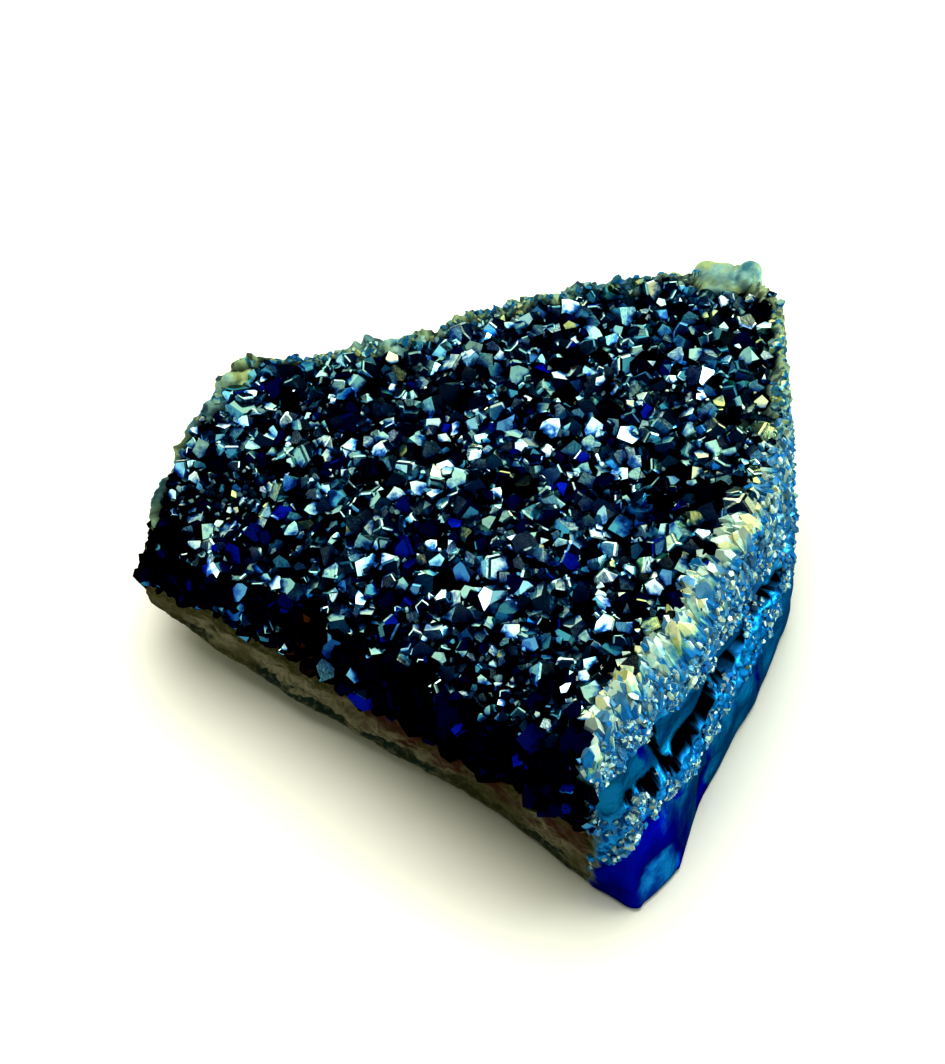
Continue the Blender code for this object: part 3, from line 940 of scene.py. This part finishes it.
def grow_columns(slab, crust, film):
    """Quartz columns seen side on in the top layer of the banded face, which fan up to the crust's
    edge, and the sugary quartz between them and in the third layer."""
    rng = np.random.default_rng(crust.seed + 1)
    face = FaceReader(slab)
    columns = PointCluster(BLADES, rng, 0.22)
    for _ in range(crust.face_columns):
        place = face.random_place(rng, *FACE_PLACES)
        if face.past_end(rng, place):
            continue
        tip_share = rng.beta(1.0, 2.2) * 0.75 - 0.04
        near_edge = tip_share < 0.18 and place < 9.6
        root_share = min(tip_share + rng.uniform(0.12, 0.28) * (1.4 if near_edge else 1), 1.0)
        tip, _ = face.on_columns(place + rng.normal(0, 0.05), max(tip_share, 0))
        root, normal = face.on_columns(place, root_share)
        width = rng.uniform(0.55, 1.05) * (2.0 if near_edge else 1) * MM
        axis = tip + normal * rng.uniform(0.1, 0.6) * width - root
        length = max(np.linalg.norm(axis), 1.5 * MM)
        axis = leaning(axis / np.linalg.norm(axis), 0.12, rng)
        turn = stood_along(axis, rng.uniform(0, 2 * math.pi))
        tints = face_tints(film, rng, EDGE_TINTS if near_edge else COLUMN_TINTS)
        start = root - normal * width * rng.uniform(0.15, 0.5)
        columns.add(start, turn, width, 0.1 * width, length, tints, slim=rng.uniform(0.6, 0.9))

    sugar = PointCluster(SMALL_POINTS, rng, 0.28)
    for number in range(crust.face_sugar):
        place = face.random_place(rng, *FACE_PLACES)
        if face.past_end(rng, place):
            continue
        first, second, third = face.layer_ends(place)
        if number < crust.face_sugar * 0.5:
            level = rng.uniform(second, third + 0.04 * (1 + noise.noise(Vector((place * 3, 0, 0)))))
            if face.is_hollow(place, level):
                continue
            root, normal = face.on_side(place, level)
            bare_below = -0.05
        else:
            root, normal = face.on_columns(place, rng.uniform(0.15, 1.0))
            bare_below = -0.35
        clump = noise.noise(Vector(root) / (2.8 * MM))
        if clump < bare_below + rng.uniform(0, 0.4):
            continue
        axis = leaning(normal + (0, 0, 0.5), 0.45, rng)
        width = rng.uniform(0.4, 0.9) * MM * (1 + 0.5 * clump)
        turn = stood_along(axis, rng.uniform(0, 2 * math.pi))
        tints = face_tints(film, rng, SUGAR_TINTS)
        buried = 0.5 * width
        stand = width * rng.uniform(-0.35, 0.15)
        sugar.add(root - axis * buried, turn, width, buried, stand, tints)
    for _ in range(crust.rim_sugar):
        column = face.form.column_at(face.random_place(rng, *LIP_PLACES))
        inwards = rng.uniform(0, 1.3) * LIP_WIDTH * MM
        lip = face.form.lip[column] - face.form.out[column] * inwards
        if noise.noise(Vector(lip) / (2.0 * MM)) < rng.uniform(-0.4, 0.3):
            continue
        root, normal = face.hit(lip, np.array((0, 0, -1.0)))
        if in_lump(root):
            continue
        width = rng.uniform(0.5, 1.2) * MM
        turn = stood_along(leaning(normal, 0.4, rng), rng.uniform(0, 2 * math.pi))
        tints = face_tints(film, rng, RIM_TINTS)
        buried = 0.5 * width
        stand = width * rng.uniform(-0.4, 0.1)
        sugar.add(root - turn[:, 2] * buried, turn, width, buried, stand, tints)
    return columns.joined("face_columns"), sugar.joined("face_sugar")


# ---------------------------------------------------------------- the rim's lumps

KNOBS = 5  # smaller balls grown together with each lump
LUMP_SEED = 5
LUMP_SKIN = (  # the modifiers that fuse the balls, soften the skin and roughen it
    ("REMESH", {"mode": "VOXEL", "voxel_size": 0.22 * MM}),
    ("SMOOTH", {"factor": 0.5, "iterations": 9}),
    ("DISPLACE", {"strength": 0.22 * MM, "mid_level": 0.5}),
)
GRAIN_SIZE = 0.7 * MM  # of the roughness


def add_ball(centre, radius):
    bpy.ops.object.select_all(action="DESELECT")
    bpy.ops.mesh.primitive_ico_sphere_add(subdivisions=3, radius=radius, location=centre)
    return bpy.context.object


def model_lumps():
    """The botryoidal lumps of the back rim: clustered balls fused into one skin, and roughened."""
    rng = np.random.default_rng(LUMP_SEED)
    balls = []
    for at, (_, radius) in zip(LUMP_CENTRES, LUMPS):
        balls.append(add_ball(at, 0.85 * radius * MM))
        for _ in range(KNOBS):
            way = rng.normal(0, 1, 3)
            way[2] = 0.5 * abs(way[2])
            way = way / np.linalg.norm(way) * (0.75, 0.6, 0.6) * radius * MM
            balls.append(add_ball(at + way, rng.uniform(0.40, 0.60) * radius * MM))
    for ball in balls:
        ball.select_set(True)
    bpy.ops.object.join()
    piece = bpy.context.object
    piece.name = piece.data.name = "rim_lumps"
    bpy.ops.object.transform_apply(location=True, rotation=True, scale=True)
    texture = bpy.data.textures.new("skin_grain", "CLOUDS")
    texture.noise_scale = GRAIN_SIZE
    for kind, values in LUMP_SKIN:
        modifier = piece.modifiers.new(kind.lower(), kind)
        for name, value in values.items():
            setattr(modifier, name, value)
        if kind == "DISPLACE":
            modifier.texture = texture
        bpy.ops.object.modifier_apply(modifier=modifier.name)
    bpy.ops.object.shade_smooth()
    return piece


# ---------------------------------------------------------------- materials

HERE, ATTRIBUTE, NOISE = "ShaderNodeTexCoord", "ShaderNodeAttribute", "ShaderNodeTexNoise"
RANGE, MIX, MATH = "ShaderNodeMapRange", "ShaderNodeMixRGB", "ShaderNodeMath"
RAMP, BUMP, VECTOR = "ShaderNodeValToRGB", "ShaderNodeBump", "ShaderNodeVectorMath"
PER_MM = 0.5 / MM  # the scale at which noise makes lumps 1 mm across
DULL_EDGES = linear("#52788a")  # the film stays dark where it is seen edge on


def add_node(tree, kind, inputs=(), output=0, **settings):
    """Adds a node with its settings and gives one of its outputs. Its inputs, in their own order or
    by name, each take a value, an output to be linked to, or None to be left as it is."""
    made = tree.nodes.new(kind)
    for name, value in settings.items():
        setattr(made, name, value)
    for key, value in inputs.items() if isinstance(inputs, dict) else enumerate(inputs):
        if isinstance(value, bpy.types.NodeSocket):
            tree.links.new(value, made.inputs[key])
        elif value is not None:
            made.inputs[key].default_value = value
    return made.outputs[output]


def new_material(name):
    """A material, a short way to add a node to it, and its shader's inputs by name."""
    material = bpy.data.materials.new(name)
    material.use_nodes = True
    tree = material.node_tree
    return material, partial(add_node, tree), tree.nodes["Principled BSDF"].inputs


def feed(inputs, **given):
    """Sets or links the shader's inputs, whose names are given in lower case with underscores."""
    for key, value in given.items():
        socket = inputs[key.replace("_", " ").title()]
        if isinstance(value, bpy.types.NodeSocket):
            socket.id_data.links.new(value, socket)
        else:
            socket.default_value = value


def set_ramp(colour, stops):
    """Places the stops of the ramp that a colour comes from, given as (position, colour)."""
    elements = colour.node.color_ramp.elements
    while len(elements) < len(stops):
        elements.new(1)
    for element, stop in zip(elements, stops):
        element.position, element.color = stop


def quartz_material(name, gloss, metallic, low, middle, start):
    """Quartz under a vapour-deposited metal film, whose tint each face carries. Growth faces are
    mirrors with a fine etching; broken ones are satin, with some of the stone's own white. Towards
    the gaps the colour is darkened as painted shade: from the tint through `middle`, a share of it,
    to the colour `low`, which ends at `start`, a share of the point's height."""
    material, add, shader = new_material(name)
    here = add(HERE, output="Object")
    patches = add(NOISE, (here, None, PER_MM / 0.45, 3))
    etched = add(NOISE, (here, None, PER_MM / 0.2, 2))
    tint = add(ATTRIBUTE, output="Color", attribute_name="tint")
    reach = add(ATTRIBUTE, output="Fac", attribute_name="reach")
    reach = add(MATH, (reach, add(RANGE, (patches, 0.3, 0.7, -0.16, 0.16))))
    # Painted shade: the tint darkens towards each point's root.
    shaded_tint = add(VECTOR, (tint, middle), operation="MULTIPLY")
    lower = add(MIX, (add(RANGE, (reach, start, start + 0.22)), low, shaded_tint))
    film = add(MIX, (add(RANGE, (reach, start + 0.16, start + 0.44)), lower, tint))
    feed(
        shader, base_color=film, metallic=metallic, specular_tint=DULL_EDGES,
        roughness=add(RANGE, (patches, 0.3, 0.7, 1.4 * gloss, 0.7 * gloss)),
        normal=add(BUMP, {"Height": etched, "Strength": 0.14, "Distance": 0.05 * MM}),
    )
    return material


def agate_material(film):
    """Chalcedony, broken and coated: satin and even on the smooth bands, where the film turns from
    teal to ink blue in blotches. The broken back is grey agate that little metal got to, and the
    belt and the underside are iron-stained rind. Under the crust and in the pits the surface is
    painted near black as shade."""
    material, add, shader = new_material("coated_agate_and_rind")
    level, layer, banded, rolled, bare, crust, hollow, chip, lipped, place = (
        add(ATTRIBUTE, output="Fac", attribute_name=name) for name in NUMBERS
    )
    here = add(HERE, output="Object")
    clouds, earth, mottle, grain = (  # lumps of these sizes in mm, with this much detail
        add(NOISE, (here, None, PER_MM / size, detail))
        for size, detail in ((3.3, 5), (1.3, 7), (0.55, 3), (0.28, 4))
    )

    # The coated bands of the broken face, with ink blue low at the front, in blotches at the foot
    # and in the notch. Blue shows in the chip, and towards the back the film thins to yellow.
    drifted = add(MATH, (layer, add(RANGE, (clouds, 0.3, 0.7, -0.12, 0.12))))
    bands = add(RAMP, (add(RANGE, (drifted, 0, 4)),))
    set_ramp(bands, (
        (0.00, film.sage), (0.12, film.steel), (0.22, film.azure), (0.26, film.band),
        (0.48, film.band), (0.53, film.azure), (0.72, film.azure), (0.77, film.band),
        (1.00, film.band),
    ))
    warped = add(MATH, (place, add(RANGE, (clouds, 0.3, 0.7, -0.5, 0.5))))
    from_notch = add(MATH, (warped, 6.95), operation="SUBTRACT")
    from_notch = add(MATH, (from_notch, 0), operation="ABSOLUTE")
    # The last mask gives navy specks on the lip: painted shade of small pocks.
    low, foot, notch, blotched, thinned, pock_shade = (
        add(MATH, (add(RANGE, one), add(RANGE, other)), operation="MULTIPLY")
        for one, other in (
            ((warped, 7.5, 7.0), (drifted, 2.72, 3.05)),
            ((drifted, 3.0, 3.3), (clouds, 0.54, 0.60)),
            ((from_notch, 0.30, 0.12), (drifted, 1.8, 1.3)),
            ((chip,), (earth, 0.34, 0.52, 0.3, 1)),
            ((place, 9.6, 11.8, 0, 0.75), (drifted, 0.8, 3.2, 1, 0.2)),
            ((lipped,), (mottle, 0.50, 0.60, 0, 0.7)),
        )
    )
    inked = add(MATH, (add(MATH, (low, foot), operation="MAXIMUM"), notch), operation="MAXIMUM")
    yellow = add(MIX, (add(RANGE, (earth, 0.50, 0.60)), film.strip, film.olive))
    face = bands
    for share, over in (
        (add(RANGE, (mottle, 0.45, 0.65, 0, 0.5)), film.band), (inked, film.ink),
        (blotched, film.azure), (thinned, yellow),
    ):
        face = add(MIX, (share, face, over))

    # The broken back: a mist of teal and sage under the rim, with yellow-green clouds. Then what
    # both have: navy specks on the lip, painted as the shade of small pocks, and near-black painted
    # shade under the crust and in the pits.
    mist = add(MIX, (add(RANGE, (earth, 0.38, 0.62)), film.teal, film.sage))
    mist = add(MIX, (add(RANGE, (clouds, 0.45, 0.62, 0, 0.8)), mist, film.strip))
    # Painted shade: near black under the crust and in the pits.
    dark = add(MATH, (crust, hollow), operation="MAXIMUM")
    coated = mist
    for share, over in ((banded, face), (pock_shade, film.navy), (dark, film.deep)):
        coated = add(MIX, (share, coated, over))

    # Below it the bare agate, faintly banded.
    wavy = add(MATH, (level, 60), operation="MULTIPLY")
    wavy = add(MATH, (wavy, add(RANGE, (clouds, 0.3, 0.7, -9, 9))))
    lines = add(RANGE, (add(MATH, (wavy, 0), operation="SINE"), -0.2, 1, 0, 0.45))
    agate = add(MIX, (add(RANGE, (earth, 0.42, 0.62)), film.stone, film.clay))
    agate = add(MIX, (lines, agate, film.skin))

    # The belt: rust at its top on the front, then olive and beige with specks, and a dark foot.
    flattened = add("ShaderNodeMapping", {"Vector": here, "Scale": (1, 1, 4.5)})
    streaks = add(NOISE, (flattened, None, PER_MM / 1.9, 6))
    depth = add(MATH, (level, add(RANGE, (streaks, 0.3, 0.7, -0.10, 0.10))))
    belt = add(RAMP, (depth,))
    set_ramp(belt, (
        (0.46, film.skin), (0.52, film.moss), (0.69, film.moss), (0.75, film.clay),
        (0.87, film.clay), (0.92, film.skin), (1.00, film.skin),
    ))
    aside = add(MATH, (add(MATH, (place, 3.7), operation="SUBTRACT"), 0), operation="ABSOLUTE")
    rusty = add(RANGE, (depth, 0.86, 0.74))
    for other in ((aside, 1.7, 1.1), (earth, 0.36, 0.60)):
        rusty = add(MATH, (rusty, add(RANGE, other)), operation="MULTIPLY")
    for share, over in (
        (add(RANGE, (clouds, 0.44, 0.60, 0, 0.8)), film.moss),
        (add(RANGE, (grain, 0.50, 0.62, 0, 0.75)), film.stone), (rusty, film.rust),
    ):
        belt = add(MIX, (share, belt, over))
    underside = add(MIX, (add(RANGE, (earth, 0.45, 0.56, 0, 0.6)), film.clay, film.skin))
    rind = add(MIX, (rolled, agate, belt))
    rind = add(MIX, (add(RANGE, (level, 0.985, 1.0)), rind, underside))

    # The film is satin metal, thin on the lip. The gaps are duller, and the bare stone is matt.
    rough = add(RANGE, (bare, 0, 1, 0.38, 0.85))
    for other in ((dark, 0, 1, 0, 0.4), (lipped, 0, 1, 0, 0.25)):
        rough = add(MATH, (rough, add(RANGE, other)))
    metal = add(RANGE, (bare, 0, 0.8, 1.0, 0.0))
    metal = add(MATH, (metal, add(RANGE, (lipped, 0, 1, 1.0, 0.6))), operation="MULTIPLY")
    feed(
        shader, base_color=add(MIX, (bare, coated, rind)), metallic=metal, roughness=rough,
        specular_tint=DULL_EDGES,
        normal=add(BUMP, {"Height": grain, "Strength": 0.6, "Distance": 0.16 * MM}),
    )
    return material


def lump_material(film):
    """Botryoidal chalcedony with a thin film: dull, grey-green with yellow crowns."""
    material, add, shader = new_material("coated_chalcedony")
    here = add(HERE, output="Object")
    colour = add(RAMP, (add(NOISE, (here, None, PER_MM / 1.5, 4)),))
    set_ramp(colour, ((0.32, film.teal), (0.46, film.sage), (0.58, film.strip), (0.72, film.olive)))
    grain = add(NOISE, (here, None, PER_MM / 0.33, 4))
    feed(
        shader, base_color=colour, metallic=0.6, roughness=0.6,
        normal=add(BUMP, {"Height": grain, "Strength": 0.6, "Distance": 0.15 * MM}),
    )
    return material


def paper_material(settings):
    """Uncoated white paper: matt and even."""
    material, _, shader = new_material("white_paper")
    feed(shader, base_color=settings.paper, roughness=0.9)
    return material


# ---------------------------------------------------------------- the stage

KEY_FROM = (-0.10, 0.53, 0.96)  # the way the key light comes from
KEY_CONE = (0.84, 0.92)  # cosines between which its patch in reflections fades in
KEY_COLOUR = "#fffdf6"
FILL_LIGHT = ("low_fill", (0.60, 0.02, 0.16), (0.30, 0.14), 2.1, "#f2fff6")  # power in watts

# The room in reflections: its windows are where noise of this scale passes these values, except
# towards the front, where they fade out between these cosines from the given way.
WINDOW_SCALE, WINDOW_EDGES = 2.6, (0.455, 0.500)
FRONT, FRONT_EDGES = (0.0, -0.84, 0.54), (0.80, 0.93)
ROOM_COLOURS = ("#0a3a78", "#2b86ae", "#ecf7f1")  # its walls, the windows' edges and the windows
ROOM_GLOW = (0.42, 1.90)  # strength of its walls and of its windows
EVEN_LIGHT = ("#f1f6dd", 0.44)  # what the world gives the matt surfaces
FLOOR_SIZE = 6
VIEW_GAMMA = 0.76


def aim(made, at, target):
    made.location = at
    made.rotation_euler = (Vector(target) - Vector(at)).to_track_quat("-Z", "Y").to_euler()


def add_light(name, kind, at, strength, colour):
    light = bpy.data.lights.new(name, kind)
    light.energy = strength
    light.color = linear(colour)[:3]
    made = bpy.data.objects.new(name, light)
    bpy.context.scene.collection.objects.link(made)
    aim(made, at, (0, 0, 0.01))
    return made


def add_lights(settings):
    """A broad key from the back, so far away that the paper is even, and a low fill."""
    key = add_light("key", "SUN", KEY_FROM, settings.key, KEY_COLOUR)
    key.data.angle = settings.softness
    key.visible_glossy = False  # the world shows the mirror faces the key in its stead
    name, at, size, power, colour = FILL_LIGHT
    fill = add_light(name, "AREA", at, power, colour).data
    fill.shape = "RECTANGLE"
    fill.size, fill.size_y = size


def studio_world():
    """White behind the stone, as the paper sweeps up out of view. In reflections there is a dim
    room with bright patches, which is dark towards the front, and other light is even."""
    world = bpy.data.worlds.new("studio")
    world.use_nodes = True
    world.node_tree.nodes.clear()
    add = partial(add_node, world.node_tree)
    way = add(HERE, output="Generated")
    front, key = (
        add(VECTOR, (way, other), output="Value", operation="DOT_PRODUCT")
        for other in (FRONT, Vector(KEY_FROM).normalized())
    )
    key = add(RANGE, (key, *KEY_CONE))
    windows = add(RANGE, (add(NOISE, (way, None, WINDOW_SCALE, 1)), *WINDOW_EDGES))
    windows = add(MATH, (windows, add(RANGE, (front, *FRONT_EDGES, 1, 0))), operation="MULTIPLY")
    bright = add(MATH, (windows, key), operation="MAXIMUM")
    colour = add(RAMP, (bright,))
    set_ramp(colour, [(number / 2, linear(tone)) for number, tone in enumerate(ROOM_COLOURS)])
    glow = add(MATH, (add(RANGE, (bright, 0, 1, *ROOM_GLOW)), key))
    code, strength = EVEN_LIGHT
    white, room, even = (
        add("ShaderNodeBackground", given)
        for given in ((linear("#ffffff"), 1.0), (colour, glow), (linear(code), strength))
    )
    glossy = add("ShaderNodeLightPath", output="Is Glossy Ray")
    camera = add("ShaderNodeLightPath", output="Is Camera Ray")
    seen = add("ShaderNodeMixShader", (glossy, even, room))
    seen = add("ShaderNodeMixShader", (camera, seen, white))
    ends = world.node_tree.nodes.new("ShaderNodeOutputWorld")
    world.node_tree.links.new(seen, ends.inputs["Surface"])
    bpy.context.scene.world = world


def make_camera(settings):
    camera = bpy.data.objects.new("camera", bpy.data.cameras.new("camera"))
    bpy.context.scene.collection.objects.link(camera)
    camera.data.lens = settings.lens
    camera.data.clip_start = 0.01
    target = Vector(settings.target)
    back = Vector((0, -math.cos(settings.elevation), math.sin(settings.elevation)))
    aim(camera, target + back * settings.distance, target)
    bpy.context.scene.camera = camera


# ---------------------------------------------------------------- operators

# The two kinds of quartz: what quartz_material is given, with the film's colour by its name. The
# colour, share and start after the metallic set the painted shade down into the gaps.
GROWN_QUARTZ = ("vapour_coated_quartz", 0.12, 1.0, "deep", (0.04, 0.20, 0.65), 0.32)
BROKEN_QUARTZ = ("coated_broken_quartz", 0.75, 0.4, "azure", (0.35, 0.75, 0.95), 0.25)


def dress(piece, material):
    """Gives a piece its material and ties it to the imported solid."""
    piece.data.materials.clear()
    piece.data.materials.append(material)
    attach(piece, BODY)
    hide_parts(NODE)


def dress_points(context, grow, quartz):
    """Grows two pieces of quartz on the slab and dresses both."""
    scene = context.scene
    film = scene.agate_film
    name, gloss, metallic, low, middle, start = quartz
    material = quartz_material(name, gloss, metallic, getattr(film, low), middle, start)
    for piece in grow(made_slab(), scene.agate_crust, film):
        dress(piece, material)


def made_slab():
    slab = bpy.data.objects.get("agate")
    if slab is None:
        raise RuntimeError("make the agate slab first")
    return slab


class AGATE_OT_make_slab(bpy.types.Operator):
    """Make the agate slab with its banded face, broken sides and rind"""

    bl_idname = "agate.make_slab"
    bl_label = "Agate Slab"

    def execute(self, context):
        settings = context.scene.agate_slab
        slab = wrap_grid("agate", *slab_rings(SlabForm(settings.columns), settings))
        dress(slab, agate_material(context.scene.agate_film))
        return {"FINISHED"}


class AGATE_OT_grow_crust(bpy.types.Operator):
    """Grow the crust of quartz points over the slab's top and down its front left side"""

    bl_idname = "agate.grow_crust"
    bl_label = "Quartz Crust"

    def execute(self, context):
        dress_points(context, grow_crust, GROWN_QUARTZ)
        return {"FINISHED"}


class AGATE_OT_grow_columns(bpy.types.Operator):
    """Grow the columns and sugary quartz that the banded face shows side on"""

    bl_idname = "agate.grow_columns"
    bl_label = "Face Columns"

    def execute(self, context):
        dress_points(context, grow_columns, BROKEN_QUARTZ)
        return {"FINISHED"}


class AGATE_OT_make_lumps(bpy.types.Operator):
    """Make the chalcedony lumps of the back rim"""

    bl_idname = "agate.make_lumps"
    bl_label = "Rim Lumps"

    def execute(self, context):
        dress(model_lumps(), lump_material(context.scene.agate_film))
        return {"FINISHED"}


class AGATE_OT_make_stage(bpy.types.Operator):
    """Make the paper floor, the lights, the world and the camera"""

    bl_idname = "agate.make_stage"
    bl_label = "Stage"

    def execute(self, context):
        settings = context.scene.agate_stage
        bpy.ops.object.select_all(action="DESELECT")
        bpy.ops.mesh.primitive_plane_add(size=FLOOR_SIZE)
        floor = context.object
        floor.name = "paper_floor"
        floor.data.materials.append(paper_material(settings))
        add_lights(settings)
        studio_world()
        make_camera(settings)
        context.scene.view_settings.view_transform = "Standard"
        context.scene.view_settings.gamma = VIEW_GAMMA
        return {"FINISHED"}


class AGATE_PT_panel(bpy.types.Panel):
    """The agate's settings and operators"""

    bl_label = "Coated Druzy Agate"
    bl_idname = "AGATE_PT_panel"
    bl_space_type = "VIEW_3D"
    bl_region_type = "UI"
    bl_category = "Agate"

    def draw(self, context):
        for group in SETTINGS:
            box = self.layout.box()
            settings = getattr(context.scene, group)
            for name in settings.bl_rna.properties.keys():
                if name not in ("rna_type", "name"):
                    box.prop(settings, name)
        for operator in OPERATORS:
            self.layout.operator(operator.bl_idname)


SETTINGS = {
    "agate_slab": SlabSettings,
    "agate_crust": CrustSettings,
    "agate_film": FilmSettings,
    "agate_stage": StageSettings,
}
OPERATORS = (
    AGATE_OT_make_slab,
    AGATE_OT_grow_crust,
    AGATE_OT_grow_columns,
    AGATE_OT_make_lumps,
    AGATE_OT_make_stage,
)


def register():
    for made in (*SETTINGS.values(), *OPERATORS, AGATE_PT_panel):
        bpy.utils.register_class(made)
    for name, group in SETTINGS.items():
        setattr(bpy.types.Scene, name, PointerProperty(type=group))


def unregister():
    for name in SETTINGS:
        delattr(bpy.types.Scene, name)
    for made in reversed((*SETTINGS.values(), *OPERATORS, AGATE_PT_panel)):
        bpy.utils.unregister_class(made)


def main():
    register()
    bpy.ops.agate.make_slab()
    bpy.ops.agate.grow_crust()
    bpy.ops.agate.grow_columns()
    bpy.ops.agate.make_lumps()
    bpy.ops.agate.make_stage()


if __name__ == "__main__":
    main()
